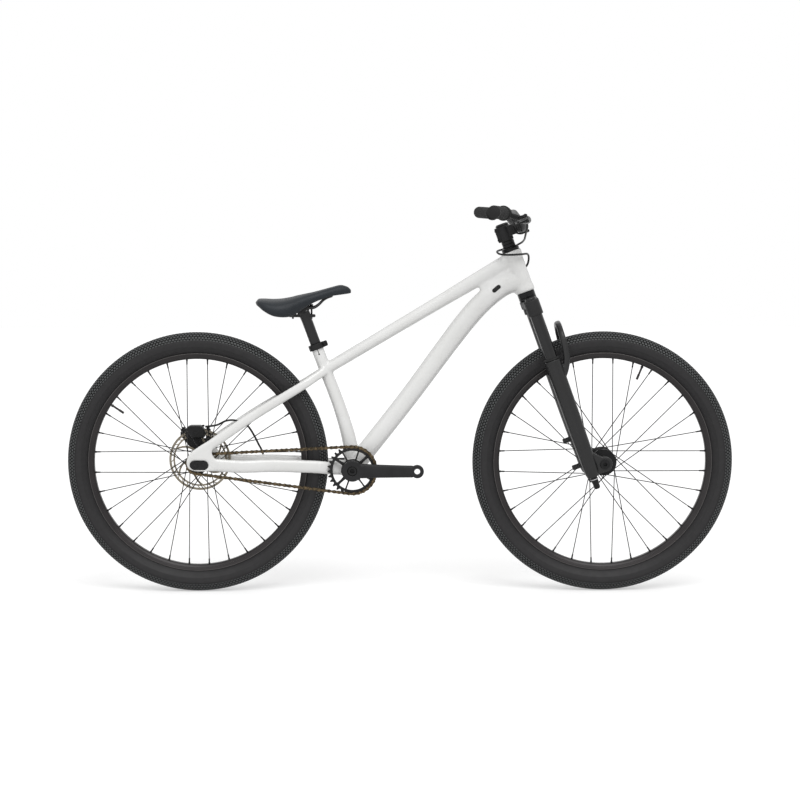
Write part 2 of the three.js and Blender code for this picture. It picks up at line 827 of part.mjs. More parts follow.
function placedOnSteering(geometry) {
  return geometry.rotateY(-headTilt).translate(headLow.x, headLow.y, headLow.z);
}

function downTube() {
  const end = headLow.clone().addScaledVector(steerUp, downTubeJoin);
  return lofted(downTubeShares.map(([along, bow, swell]) => ({
    at: bowed(bottomBracket, end, along, bow),
    wide: downTubeHalfWide,
    tall: downTubeHalf + swell * (downTubeHeadHalf - downTubeHalf),
  })), 12, tubeSquareness);
}

function topTube() {
  const start = seatTop.clone().addScaledVector(postUp, -seatJoinDrop);
  const end = headLow.clone().addScaledVector(steerUp, headTubeLength - topTubeJoin);
  return lofted([[0, 0], [0.55, 0.28], [0.8, 0.7], [1, 1]].map(([along, swell]) => ({
    at: bowed(start, end, along, 0),
    wide: topTubeHalfWide,
    tall: topTubeHalf + swell * (topTubeHeadHalf - topTubeHalf),
  })), 10, tubeSquareness);
}

function seatTube() {
  return lofted(seatTubeShares.map(([along, bow, swell]) => ({
    at: bowed(seatTop, bottomBracket, along, bow),
    wide: seatTubeRadius * swell,
    tall: seatTubeRadius * swell,
  })), 12);
}

function chainstayTube(side) {
  const start = rearAxle.clone().add(new THREE.Vector3(stayTailForward, 0, fit));
  const end = bottomBracket;
  const reach = dropoutInner - fit;
  return lofted(chainstayShares.map(([along, bow, out]) => ({
    at: bowed(start, end, along, bow).setY(side * out * reach),
    wide: chainstayHalfWide,
    tall: chainstayHalf,
  })), 8, staySquareness);
}

function seatstayTube(side) {
  const start = rearAxle.clone().add(new THREE.Vector3(seatstayTailForward, 0, seatstayTailUp));
  const end = seatTop.clone().addScaledVector(postUp, -seatJoinDrop - lap);
  const reach = dropoutInner - fit;
  return lofted(seatstayShares.map(([along, bow, out]) => ({
    at: bowed(start, end, along, bow).setY(side * out * reach),
    wide: stayHalfWide,
    tall: seatstayHalf + along * (seatstayTopHalf - seatstayHalf),
  })), 8, staySquareness);
}

// Dropout outline in shares of its radius about the axle
const dropoutShares = [
  [-0.3, -0.6], [1.9, -0.66], [1.9, 0.9], [1.72, 1.05], [1.76, 2.8], [1.3, 2.5], [-0.28, 1.54],
  [-0.75, 1.1], [-1, 0.4], [-0.93, -0.1], [-0.72, -0.43],
];

function dropout(side) {
  const shape = outline(dropoutShares.map(([x, z]) => [
    rearAxle.x + x * dropoutRadius, rearAxle.z + z * dropoutRadius,
  ]));
  const low = side > 0 ? dropoutInner : -dropoutInner - dropoutThick;
  return plate(shape, low, low + dropoutThick);
}

function insertSlot(side) {
  const shape = slotShape(insertLength + 2 * fit, insertHeight + 2 * fit, insertAhead, 0);
  const low = dropoutInner - 4 * chainstayHalfWide;
  const high = dropoutInner + 2 * dropoutThick;
  const slot = side > 0 ? plate(shape, low, high) : plate(shape, -high, -low);
  return at(slot, rearAxle.x, 0, rearAxle.z);
}

function portSlot(side, clear, low, high) {
  const shape = slotShape(portLength + 2 * clear, portHeight + 2 * clear, 0, 0);
  const geometry = side > 0 ? plate(shape, low, high) : plate(shape, -high, -low);
  geometry.rotateY(-headTilt * 2);
  const centre = headLow.clone().addScaledVector(steerUp, portUp);
  centre.addScaledVector(steerAhead, -portBehind);
  return geometry.translate(centre.x, 0, centre.z);
}

function frame() {
  const shell = at(rod(bbShellRadius, -bbShellHalf, bbShellHalf, 12), bottomBracket.x, 0,
    bottomBracket.z);
  const body = fuse([
    headTube(), downTube(), topTube(), seatTube(), shell,
    chainstayTube(1), chainstayTube(-1), seatstayTube(1), seatstayTube(-1), dropout(1), dropout(-1),
  ]);
  const steerBore = placedOnSteering(uprightRod(headBoreRadius, -overrun, headTubeLength + overrun, 12));
  const bbBore = at(rod(bbBoreRadius, -2 * bbShellHalf, 2 * bbShellHalf, 12),
    bottomBracket.x, 0, bottomBracket.z);
  const postHole = uprightRod(postTubeRadius + fit, -postBore, 2 * overrun, 12);
  postHole.rotateY(-seatTilt).translate(seatTop.x, 0, seatTop.z);
  const port = downTubeHalfWide - portDepth;
  return cut(body, [
    steerBore, bbBore, postHole, insertSlot(1), insertSlot(-1),
    portSlot(1, fit, port, 2 * downTubeHalfWide), portSlot(-1, fit, port, 2 * downTubeHalfWide),
  ]);
}

function cablePort(side) {
  return portSlot(side, 0, downTubeHalfWide - portDepth + fit, downTubeHalfWide + lap);
}

function seatCollar() {
  const inner = seatTubeRadius + fit;
  const outer = inner + collarWall;
  const ring = uprightRod(outer, -collarHeight, fit, 16);
  const tab = block([inner, outer + collarTab], [-collarTab, collarTab], [-collarHeight, fit]);
  const hole = uprightRod(inner, -collarHeight - overrun, overrun, 16);
  const slit = block([0, 2 * outer], [-lap / 2, lap / 2], [-collarHeight - overrun, overrun]);
  const bolt = at(rod(boltRadius + fit, -2 * collarTab, 2 * collarTab, 8),
    outer + collarTab / 2, 0, -collarHeight / 2);
  return cut(fuse([ring, tab]), [hole, slit, bolt]);
}

function collarBolt() {
  const x = seatTubeRadius + fit + collarWall + collarTab / 2;
  const shank = rod(boltRadius, -collarTab - lap, collarTab, 8);
  const head = rod(boltHeadRadius, -collarTab - fit - boltHead, -collarTab - fit, 10);
  return geometryOf(fuse([shank, head])).translate(x, 0, -collarHeight / 2);
}

// Rear brake
function caliper() {
  const back = rearAxle.x - caliperBack;
  const xs = [back, back + caliperLength];
  const high = rearAxle.z + caliperHigh;
  const low = rearAxle.z + caliperLow;
  const edge = (caliperHigh - caliperSlotTop) * 0.7;
  const rounded = outline([
    [caliperInner, low], [caliperOuter, low], [caliperOuter, high - edge], [caliperOuter - edge, high],
    [caliperInner + edge, high], [caliperInner, high - edge],
  ]);
  const body = new THREE.ExtrudeGeometry(rounded, { depth: caliperLength, bevelEnabled: false });
  body.rotateX(Math.PI / 2).rotateZ(Math.PI / 2).translate(xs[0], 0, 0);
  const lugTop = rearAxle.z + caliperLugHigh;
  const lugs = block([xs[0] - caliperLug, xs[1] + caliperLug], [bracketY, bracketY + bracketLugWide],
    [lugTop - caliperLugThick, lugTop]);
  const middle = rotorY + fit + rotorThick / 2;
  const slot = block([xs[0] - 2 * caliperLug, xs[1] + 2 * caliperLug],
    [middle - caliperSlot / 2, middle + caliperSlot / 2], [low - overrun, rearAxle.z + caliperSlotTop]);
  const holes = caliperBoltPlaces().map((x) => (
    at(uprightRod(room(boltRadius, 8), low, high, 8), x, caliperBoltY, 0)));
  return cut(fuse([body, lugs]), [slot, ...holes]);
}

function caliperBoltPlaces() {
  const back = rearAxle.x - caliperBack;
  return [back - caliperLug / 2, back + caliperLength + caliperLug / 2];
}

function brakePads() {
  const x = rearAxle.x - caliperBack + (caliperLength - padLength) / 2;
  const zs = [rearAxle.z + padLow, rearAxle.z + padLow + padHeight];
  const middle = rotorY + fit + rotorThick / 2;
  const near = rotorThick / 2 + fit;
  const far = caliperSlot / 2 - fit;
  const over = rearAxle.z + rotorRadius + fit;
  const xs = [x, x + padLength];
  const spring = [x + padLength / 3, x + padLength * 2 / 3];
  return fuse([
    block(xs, [middle + near, middle + far], zs), block(xs, [middle - far, middle - near], zs),
    block(spring, [middle + far - padSpring, middle + far], [zs[1] - lap, over + padSpring]),
    block(spring, [middle - far, middle - far + padSpring], [zs[1] - lap, over + padSpring]),
    block(spring, [middle - far, middle + far], [over, over + padSpring]),
  ]);
}

// Bracket between the caliper's lugs and the inside of the left dropout
const bracketShares = [
  [-2.05, 2.9], [-2.05, 2.5], [-0.5, 0.65], [0.75, 0.6], [1, 1.3], [1.25, 2.4], [1.25, 2.9], [0.66, 2.9],
  [0.64, 2.25], [-1.55, 2.25], [-1.52, 2.9],
];
const standoffShares = [[-0.12, 1], [0.5, 0.88]];

function caliperBracket() {
  const lugTop = rearAxle.z + caliperLugHigh;
  const top = lugTop - caliperLugThick - fit;
  const scale = (top - rearAxle.z) / bracketShares[0][1];
  const place = ([x, z]) => [rearAxle.x + x * scale, rearAxle.z + z * scale];
  const web = plate(outline(bracketShares.map(place)), bracketY, bracketY + bracketThick);
  const pads = caliperBoltPlaces().flatMap((x) => [
    block([x - boltHeadRadius, x + boltHeadRadius], [bracketY, bracketY + bracketLugWide],
      [top - caliperLugThick, top]),
    at(uprightRod(boltRadius, top - lap, lugTop + lap, 8), x, caliperBoltY, 0),
    at(uprightRod(boltHeadRadius, lugTop + fit, lugTop + fit + boltHead, 8), x, caliperBoltY, 0),
  ]);
  const standoffs = standoffShares.map(place).map(([x, z]) => (
    at(rod(standoffRadius, bracketY + lap, dropoutInner - fit, 10), x, 0, z)));
  return fuse([web, ...pads, ...standoffs]);
}

// Rear hose: from the caliper, inside the left seat stay, down into the left chain stay
const rearHoseShares = [
  [0.143, 0.86, 0.5], [0.3, 0.875, 0.505], [0.46, 0.905, 0.51], [0.685, 1.01, 0.495], [0.88, 1.03, 0.475],
  [1.035, 0.99, 0.465], [1.25, 0.875, 0.465], [1.405, 0.64, 0.495], [1.52, 0.4, 0.535],
  [1.595, 0.25, 0.568], [1.625, 0.17, 0.574], [1.638, 0.128, 0.574],
];

function rearHose() {
  return hose(rearHoseShares.map(([x, z, y]) => (
    new THREE.Vector3(x, 0, z).multiplyScalar(hoseSpan).add(rearAxle).setY(y * hoseSpan))), hoseRadius, 16);
}

// Seatpost and saddle. The post's pieces are built about the seat tube's top, +Z up the post
function seatpost() {
  const tube = uprightRod(postTubeRadius, -postInsert, postExtension - headRadius * 0.8, 12);
  const half = clampBoltAt + clampBoltPlay + 2 * boltRadius;
  const ears = block([-half, half], [-earHalf, earHalf], [-clampBoltDrop, earThick - clampBoltDrop]);
  const head = rod(headRadius, -headHalfWidth, headHalfWidth, 16);
  const trough = rod(room(clampRadius, 12), -2 * headHalfWidth, 2 * headHalfWidth, 12);
  const above = block([-2 * headRadius, 2 * headRadius], [-2 * headHalfWidth, 2 * headHalfWidth],
    [-headTrim, 2 * headRadius]);
  const slots = [-clampBoltAt, clampBoltAt].map((x) => block([x - clampBoltPlay, x + clampBoltPlay],
    [-boltRadius - fit, boltRadius + fit], [-2 * clampBoltDrop, 0]));
  const level = [head, ears, trough, above, ...slots].map((geometry) => (
    geometry.rotateY(seatTilt).translate(0, 0, postExtension)));
  return cut(fuse([tube, ...level.slice(0, 2)]), level.slice(2));
}

// The lower clamp is a half drum that turns in the post's head, with a groove for each rail
function clampLower() {
  const wide = railSpacing / 2 + 2 * railRadius;
  const above = block([-2 * clampRadius, 2 * clampRadius], [-2 * wide, 2 * wide], [-fit, 2 * clampRadius]);
  return cut(solidOf(rod(clampRadius, -wide, wide, 12)), [above, ...railGrooves()]);
}

function railGrooves() {
  return [-1, 1].map((side) => {
    const groove = new THREE.CylinderGeometry(room(railRadius, 8), room(railRadius, 8), 4 * clampLength, 8);
    return groove.rotateZ(Math.PI / 2).translate(0, side * railSpacing / 2, 0);
  });
}

function clampUpper() {
  const wide = railSpacing / 2 + 2 * railRadius;
  const bar = block([-clampHalf, clampHalf], [-wide, wide], [fit, clampPlate]);
  const end = clampBoltAt + boltHeadRadius;
  const arms = block([-end, end], [-earHalf, earHalf], [fit, clampPlate]);
  const bolts = [-clampBoltAt, clampBoltAt].flatMap((x) => [
    at(uprightRod(boltRadius, -clampBoltDrop - lap, clampPlate, 8), x, 0, 0),
    at(uprightRod(boltHeadRadius, clampPlate - lap, clampPlate + lap, 8), x, 0, 0),
  ]);
  return cut(fuse([bar, arms, ...bolts]), railGrooves());
}

// Saddle places in shares: along from the tail, half width, top height, lower edge
const saddleShares = [
  [0, 0.5, 0, 0.1], [0.03, 0.74, 0.22, 0.36], [0.09, 0.91, 0.23, 0.6], [0.18, 1, 0.2, 0.81],
  [0.27, 0.99, 0.24, 0.91], [0.36, 0.92, 0.36, 0.96], [0.43, 0.78, 0.5, 0.9], [0.51, 0.63, 0.64, 0.72],
  [0.6, 0.49, 0.79, 0.55], [0.7, 0.375, 1, 0.48], [0.8, 0.325, 1.22, 0.46], [0.89, 0.29, 1.4, 0.5],
  [0.96, 0.22, 1.26, 0.36], [1, 0.1, 0.95, 0.16],
];

function saddlePlace([along, half, top, drop]) {
  return {
    x: along * saddleLength - saddleBack,
    half: half * saddleWidth / 2,
    top: saddleRise * 0.85 + top * saddleNoseRise - saddleNoseRise * 0.2,
    drop: drop * wingDrop,
  };
}

// One section of the cover: a crowned top, drawn-in sides and a hollow underside
const coverShares = [
  [0, 0], [0.36, 0.03], [0.66, 0.12], [0.87, 0.28], [0.98, 0.5], [1, 0.74], [0.94, 0.92], [0.85, 1],
];

function coverSection(place) {
  const thick = Math.min(padThick, place.drop * 0.75);
  const under = place.top - thick;
  const low = place.top - place.drop;
  const inner = place.half * 0.78;
  const half = coverShares.map(([out, down]) => [out * place.half, place.top - down * place.drop]);
  half.push([inner, low + (under - low) * 0.1], [inner * 0.9, low + (under - low) * 0.6],
    [inner * 0.6, under], [0, under]);
  const left = half.slice(1, -1).reverse().map(([y, z]) => [-y, z]);
  return [...half, ...left].reverse().map(([y, z]) => new THREE.Vector3(place.x, y, z));
}

// Skin over rings of equally many points, with a fan on each end
function skinned(rings) {
  const count = rings[0].length;
  const positions = rings.flat().flatMap((point) => [point.x, point.y, point.z]);
  const index = [];
  for (let i = 0; i + 1 < rings.length; i += 1) {
    for (let k = 0; k < count; k += 1) {
      const a = i * count + k;
      const b = i * count + (k + 1) % count;
      index.push(a, b, b + count, a, b + count, a + count);
    }
  }
  const flat = (ring) => THREE.ShapeUtils.triangulateShape(
    ring.map((point) => new THREE.Vector2(point.y, point.z)), []);
  const last = positions.length / 3 - count;
  flat(rings[0]).forEach(([a, b, c]) => index.push(a, c, b));
  flat(rings[rings.length - 1]).forEach(([a, b, c]) => index.push(last + a, last + b, last + c));
  const geometry = new THREE.BufferGeometry();
  geometry.setAttribute('position', new THREE.Float32BufferAttribute(positions, 3));
  geometry.setIndex(index);
  return geometry;
}

function saddleCover() {
  return skinned(saddleShares.map(saddlePlace).map(coverSection));
}

// The shell lies under the pad and carries the rails' ends
function saddleShell() {
  const rings = saddleShares.slice(2, -2).map(saddlePlace).map((place) => {
    const thick = Math.min(padThick, place.drop * 0.75);
    const top = place.top - thick - fit;
    const half = place.half * 0.78 * 0.58;
    return [[half, top - shellThick], [half, top], [-half, top], [-half, top - shellThick]].map(([y, z]) => (
      new THREE.Vector3(place.x, y, z)));
  });
  return skinned(rings);
}

// One wire: from the tail along the left side, round the nose and back along the right
const railShares = [
  [-0.33, 1.3, 0.045], [-0.25, 1.22, 0.03], [-0.15, 1, 0], [0, 1, 0], [0.125, 1, 0.02],
  [0.175, 0.85, 0.3], [0.225, 0.55, 0.75], [0.265, 0.4, 0.98], [0.295, 0.3, 1.08], [0.31, 0.12, 1.12],
];

function saddleRails() {
  const half = railSpacing / 2;
  const right = railShares.map(([along, out, rise]) => (
    new THREE.Vector3(along * saddleLength, out * half, rise * saddleRise)));
  const left = right.map((place) => place.clone().setY(-place.y)).reverse();
  return hose([...right, ...left], railRadius, 26);
}

// Fork and cockpit. Built about the head tube's lower end, +Z up the steering axis, +X ahead
function crown() {
  const top = -lowerStack - fit;
  const low = top - crownHeight;
  const half = legSpan / 2;
  const station = (y, depth, share) => ({
    at: new THREE.Vector3(legAhead * (1 - share), y, top - crownBridge / 2),
    wide: depth / 2,
    tall: crownBridge / 2,
    across: new THREE.Vector3(1, 0, 0),
  });
  const bridge = lofted([
    station(-half, crownDepth * 0.7, 0), station(-half * 0.5, crownDepth * 0.86, 0.5),
    station(0, crownDepth, 1), station(half * 0.5, crownDepth * 0.86, 0.5),
    station(half, crownDepth * 0.7, 0),
  ], 8, crownSquareness);
  const sockets = [-half, half].map((y) => at(uprightRod(socketRadius, low, top, 12), legAhead, y, 0));
  const bores = [-half, half].map((y) => at(uprightRod(stanchionRadius + fit, low - overrun,
    top + overrun, 12), legAhead, y, 0));
  const boss = uprightRod(crownRadius, top - crownBridge, top, 12);
  const steererTop = steererTopAt();
  const steerer = uprightRod(steererRadius, top - lap, steererTop, 12);
  return cut(fuse([bridge, boss, steerer, ...sockets]), bores);
}

function stemBottomAt() {
  return headTubeLength + topCoverHeight + fit + spacerCount * spacerHeight + fit;
}

function steererTopAt() {
  return stemBottomAt() + stemHeight - lap;
}

function stanchion(side) {
  const top = -lowerStack - fit;
  return at(fuse([
    uprightRod(stanchionRadius, -stanchionEnd, top, 12),
    uprightRod(topCapRadius, top - lap, top + topCapHeight, 12),
  ]), legAhead, side * legSpan / 2, 0);
}

function headsetCup(up) {
  const sleeve = headBoreRadius - fit;
  const seat = bearingRadius + fit;
  const height = up ? bearingHeight : cupHeight;
  const cup = turnedUpright([
    [seat, -fit - height], [cupRadius, -fit - height], [cupRadius, -fit],
    [sleeve, -fit], [sleeve, cupDeep], [seat, cupDeep],
  ], 12);
  return up ? cup.rotateX(Math.PI).translate(0, 0, headTubeLength) : cup;
}

function ringAt(inner, outer, low, high, segments = 12) {
  return turnedUpright([[inner, low], [outer, low], [outer, high], [inner, high]], segments);
}

function headsetBearing(low) {
  return ringAt(room(steererRadius, 12), bearingRadius, low, low + bearingHeight - fit);
}

function crownRace() {
  return ringAt(steererRadius + fit, cupRadius, -lowerStack, -fit - cupHeight - fit);
}

function topCover() {
  const low = headTubeLength + fit + bearingHeight + fit;
  return ringAt(steererRadius + fit, cupRadius, low, headTubeLength + topCoverHeight);
}

function spacer(k) {
  const low = headTubeLength + topCoverHeight + fit + k * spacerHeight;
  return ringAt(steererRadius + fit, spacerRadius, low, low + spacerHeight - fit);
}

function barClampAt() {
  return new THREE.Vector3(stemReach, 0, stemBottomAt() + stemHeight / 2 + stemRise);
}

const stemBoltShares = [0.2, 0.8];

function stem() {
  const low = stemBottomAt();
  const high = low + stemHeight;
  const clamp = barClampAt();
  const sleeve = uprightRod(stemClampRadius, low, high, 12);
  const tabHalf = stemClampRadius * 0.55;
  const tab = block([-stemClampRadius - boltHeadRadius, 0], [-tabHalf, tabHalf], [low + lap, high - lap]);
  const body = block([stemClampRadius * 0.4, stemReach - fit],
    [-barClampHalf * 0.6, barClampHalf * 0.6],
    [clamp.z - stemHeight * 0.36, clamp.z + stemHeight * 0.32]);
  const saddle = at(rod(barClampRadius, -barClampHalf, barClampHalf, 16), clamp.x, 0, clamp.z);
  const front = block([stemReach - fit, stemReach + 2 * barClampRadius],
    [-2 * barClampHalf, 2 * barClampHalf], [low - stemHeight, high + stemHeight]);
  const bore = uprightRod(steererRadius + fit, low - overrun, high + overrun, 12);
  const bar = at(rod(room(barCentreRadius, 12), -2 * barClampHalf, 2 * barClampHalf, 12),
    clamp.x, 0, clamp.z);
  const slit = block([-2 * stemClampRadius, 0], [-lap / 2, lap / 2], [low - overrun, high + overrun]);
  const bolts = stemBoltShares.map((share) => at(rod(boltHeadRadius, -tabHalf - boltHead, -lap, 8),
    -stemClampRadius - boltHeadRadius / 2, 0, low + share * stemHeight));
  return cut(fuse([sleeve, tab, body, saddle, ...bolts]), [front, bore, bar, slit]);
}

function faceplate() {
  const clamp = barClampAt();
  const place = (geometry) => at(geometry, clamp.x, 0, clamp.z);
  const corners = [-1, 1].flatMap((side) => [-1, 1].map((up) => [side, up]));
  const bolts = corners.map(([side, up]) => {
    const head = new THREE.CylinderGeometry(boltHeadRadius, boltHeadRadius, barClampRadius, 8);
    return head.rotateZ(Math.PI / 2).translate(barClampRadius * 0.4 + fit, side * barClampHalf * 0.75,
      up * barClampRadius * 0.85);
  }).map(place);
  const reach = 2 * barClampRadius;
  const back = place(block([-reach, fit], [-reach, reach], [-reach, reach]));
  const bar = place(rod(room(barCentreRadius, 12), -reach, reach, 12));
  const window = place(block([0, reach], [-barClampHalf * 0.4, barClampHalf * 0.4],
    [-barClampRadius * 0.5, barClampRadius * 0.5]));
  return cut(fuse([place(rod(barClampRadius, -barClampHalf, barClampHalf, 16)), ...bolts]),
    [back, bar, window]);
}

function steererCap() {
  const top = stemBottomAt() + stemHeight;
  return uprightRod(stemClampRadius * 0.95, top + fit, top + topCapThick, 12);
}

function barPlace(y) {
  const clamp = barClampAt();
  const out = Math.max(Math.abs(y) - barBendAt, 0) / (barHalf - barBendAt);
  const bend = THREE.MathUtils.smoothstep(Math.abs(y), barClampHalf * 1.5, barBendAt);
  const bendBack = barBack * 0.17;
  return new THREE.Vector3(clamp.x - bend * bendBack - out * (barBack - bendBack), y,
    clamp.z + bend * barRise + out * (barLift - barRise));
}

function handlebar() {
  const half = [0, 0.1, 0.19, barBendAt / barHalf, 0.36, 1];
  const width = [1, 1, 0.7, 0.28, 0, 0];
  const right = half.map((share, i) => ({
    at: barPlace(-share * (barHalf - gripEnd - fit)),
    wide: barRadius + width[i] * (barCentreRadius - barRadius),
    tall: barRadius + width[i] * (barCentreRadius - barRadius),
    across: new THREE.Vector3(1, 0, 0),
  })).reverse();
  const left = right.slice(0, -1).map((station) => ({
    ...station, at: station.at.clone().multiply(new THREE.Vector3(1, -1, 1)),
  })).reverse();
  return lofted([...right, ...left], 12);
}

function alongBar(geometry, side) {
  const end = barPlace(side * barHalf);
  const bend = barPlace(side * barBendAt);
  const way = end.clone().sub(bend).normalize();
  const turn = new THREE.Quaternion().setFromUnitVectors(THREE.Object3D.DEFAULT_UP, way);
  return geometry.applyQuaternion(turn).translate(end.x, end.y, end.z);
}

function grip(side) {
  const bore = room(barRadius, 12);
  const ribs = [];
  const ribCount = 2;
  for (let k = 0; k < ribCount; k += 1) {
    const start = -gripLength + gripFlangeWide + (k + 0.25) * gripLength * 0.8 / ribCount;
    ribs.push([gripRadius, start], [gripRadius - lap, start + gripFlangeWide]);
  }
  return alongBar(turned([
    [bore, -gripLength], [gripFlange, -gripLength], [gripFlange, gripFlangeWide - gripLength],
    ...ribs, [gripRadius, -gripEnd], [gripRadius - gripEnd, 0], [gripEnd, 0], [gripEnd, -gripEnd],
    [bore, -gripEnd],
  ], 12), side);
}

function leverPlace(y, ahead, below) {
  const place = barPlace(-y);
  return new THREE.Vector3(place.x + ahead, -y, place.z - below);
}

function leverPivot() {
  return leverPlace(masterInner + masterLength * 0.86, masterAhead + masterRadius * 0.8, masterBelow);
}

function leverBody() {
  const clampWay = barPlace(-barHalf).sub(barPlace(-barBendAt)).normalize();
  const turn = new THREE.Quaternion().setFromUnitVectors(THREE.Object3D.DEFAULT_UP, clampWay);
  const clampAt = barPlace(-leverClampAt);
  const round = (geometry) => geometry.applyQuaternion(turn).translate(clampAt.x, clampAt.y, clampAt.z);
  const ring = round(rod(leverClampRadius, -leverClampWide / 2, leverClampWide / 2, 12));
  const hole = round(rod(room(barRadius, 12), -leverClampWide, leverClampWide, 12));
  const inner = leverPlace(masterInner, masterAhead, masterBelow);
  const outer = leverPlace(masterInner + masterLength, masterAhead, masterBelow);
  const station = (place, share) => ({
    at: place,
    wide: masterRadius * share,
    tall: masterRadius * share,
    across: new THREE.Vector3(1, 0, 0),
  });
  const cylinder = lofted([
    station(inner, 0.6), station(inner.clone().lerp(outer, 0.12), 1),
    station(inner.clone().lerp(outer, 0.8), 1), station(outer, 0.8),
  ], 8);
  const arm = lofted([
    station(clampAt.clone().lerp(leverPlace(leverClampAt, masterAhead, masterBelow), 0.3), 0.62),
    station(leverPlace(leverClampAt, masterAhead, masterBelow), 0.62),
  ].map((item) => ({ ...item, across: new THREE.Vector3(0, 1, 0) })), 6);
  const pivot = leverPivot();
  const ears = at(uprightRod(leverEyeRadius, -masterRadius, masterRadius, 12), pivot.x, pivot.y, pivot.z);
  const gap = block([pivot.x - leverEyeRadius - 3 * lap, pivot.x + 2 * leverEyeRadius],
    [pivot.y - 3 * leverEyeRadius, pivot.y + leverEyeRadius + 2 * lap],
    [pivot.z - leverForkGap / 2, pivot.z + leverForkGap / 2]);
  const pin = at(uprightRod(leverPinRadius + fit, -2 * masterRadius, 2 * masterRadius, 8),
    pivot.x, pivot.y, pivot.z);
  return cut(fuse([ring, cylinder, arm, ears]), [hole, gap, pin]);
}

function leverPin() {
  const pivot = leverPivot();
  return at(uprightRod(leverPinRadius, -masterRadius - lap, masterRadius + lap, 8),
    pivot.x, pivot.y, pivot.z);
}

const bladeShares = [[0, 0, 1], [0.16, 0.02, 0.85], [0.42, 0.17, 0.8], [0.75, 0.28, 0.95], [1, 0.24, 1]];

function leverBlade() {
  const pivot = leverPivot();
  const blade = lofted(bladeShares.map(([out, back, tall]) => ({
    at: new THREE.Vector3(pivot.x - back * leverBladeLength, pivot.y - out * leverBladeLength, pivot.z),
    wide: leverBladeThin,
    tall: leverBladeHalf * tall * 0.6,
    across: new THREE.Vector3(1, 0, 0),
  })), 8, leverSquareness);
  const eye = at(uprightRod(leverEyeRadius - lap, fit - leverForkGap / 2, leverForkGap / 2 - fit, 12),
    pivot.x, pivot.y, pivot.z);
  const hole = at(uprightRod(leverPinRadius + fit, -masterRadius, masterRadius, 8),
    pivot.x, pivot.y, pivot.z);
  return cut(fuse([blade, eye]), [hole]);
}

// Front hose: from the master cylinder, once round the head tube, into the frame's left port
const frontHoseShares = [
  [0.5, -1.2, 1.55], [0.45, -0.86, 1.42], [0.42, -0.54, 1.33], [0.4, -0.18, 1.27], [0.32, 0.18, 1.21],
  [0.1, 0.36, 1.18], [-0.2, 0.31, 1.21], [-0.34, 0, 1.21], [-0.29, -0.26, 1.13], [-0.05, -0.38, 1.03],
  [0.22, -0.32, 0.95], [0.37, -0.06, 0.89], [0.37, 0.12, 0.77], [0.28, 0.24, 0.62], [0.05, 0.34, 0.5],
  [-0.3, 0.39, 0.42], [-0.55, 0.39, 0.37],
];

function frontHose() {
  const start = leverPlace(masterInner, masterAhead, masterBelow).add(new THREE.Vector3(0, 2 * fit, 0));
  const places = frontHoseShares.map(([x, y, z]) => new THREE.Vector3(x, y, z).multiplyScalar(hoseSpan));
  const end = new THREE.Vector3(-portBehind, downTubeHalfWide + lap + fit, portUp);
  const lead = new THREE.Vector3(0, 3 * hoseRadius, 0);
  return hose([start, start.clone().add(lead), ...places, end.clone().add(lead), end], hoseRadius, 34);
}

// Fork lowers: two legs, the arch ahead of them, axle lugs and brake posts
function legProfile() {
  return turnedUpright([
    [0, -legBottom], [legFootRadius * 0.85, -legBottom], [legFootRadius, lugRadius - legBottom],
    [legRadius * 0.98, -(legTop + legBottom) / 2], [legRadius, -legTop], [0, -legTop],
  ], 12);
}

function axleLug(side) {
  const shape = new THREE.Shape();
  shape.absarc(forkRake, -forkLength, lugRadius, -Math.PI * 0.62, Math.PI * 0.5);
  shape.lineTo(legAhead, -forkLength + 3 * lugRadius);
  shape.lineTo(legAhead, -legBottom + lap);
  const low = side > 0 ? frontHubHalf + fit : -frontHubHalf - fit - lugThick;
  return plate(shape, low, low + lugThick, 7);
}

function arch() {
  const half = legSpan / 2;
  const rows = [
    [archFootAhead, 1, archFoot], [archAhead * 0.76, 0.99, archFoot * 0.86],
    [archAhead * 0.92, 0.8, archTop * 1.24], [archAhead * 0.98, 0.43, archTop * 1.05],
    [archAhead, 0, archTop],
  ];
  const right = rows.map(([x, y, z]) => ({
    at: new THREE.Vector3(x, -y * half, -z),
    wide: archHalfDepth,
    tall: archHalfThick,
    across: new THREE.Vector3(1, 0, 0),
  }));
  const left = right.slice(0, -1).map((station) => ({
    ...station, at: station.at.clone().multiply(new THREE.Vector3(1, -1, 1)),
  })).reverse();
  return lofted([...right, ...left], 8, archSquareness);
}

function forkLowers() {
  const half = legSpan / 2;
  const legs = [-half, half].flatMap((y) => [
    at(legProfile(), legAhead, y, 0),
    at(uprightRod(footCapRadius, -legBottom - footCapLength, lap - legBottom, 12), legAhead, y, 0),
  ]);
  const posts = [0, 1].map((k) => {
    const post = new THREE.CylinderGeometry(postRadius, postRadius, postReach, 12);
    const z = -forkLength + k * postSpacing;
    return post.rotateZ(Math.PI / 2).translate(-postReach / 2, postY, z);
  });
  const hole = at(rod(room(frontAxleRadius, 12), -2 * frontHubHalf, 2 * frontHubHalf, 12),
    forkRake, 0, -forkLength);
  const bores = [-half, half].map((y) => (
    at(uprightRod(stanchionRadius + fit, -legBoreEnd, overrun - legTop, 12), legAhead, y, 0)));
  return cut(fuse([...legs, axleLug(1), axleLug(-1), arch(), ...posts]), [hole, ...bores]);
}

function wiper(side) {
  const ring = ringAt(stanchionRadius + fit, legRadius - lap, fit - legTop, wiperHeight - legTop);
  return at(ring, legAhead, side * legSpan / 2, 0);
}

function frontAxlePiece() {
  const face = frontHubHalf + fit + lugThick + fit;
  const shaft = rod(frontAxleRadius, -face - axleHeadThick, face, 12);
  const head = rod(axleHeadRadius, -face - axleHeadThick, -face, 12);
  return fuse([shaft, head]);
}

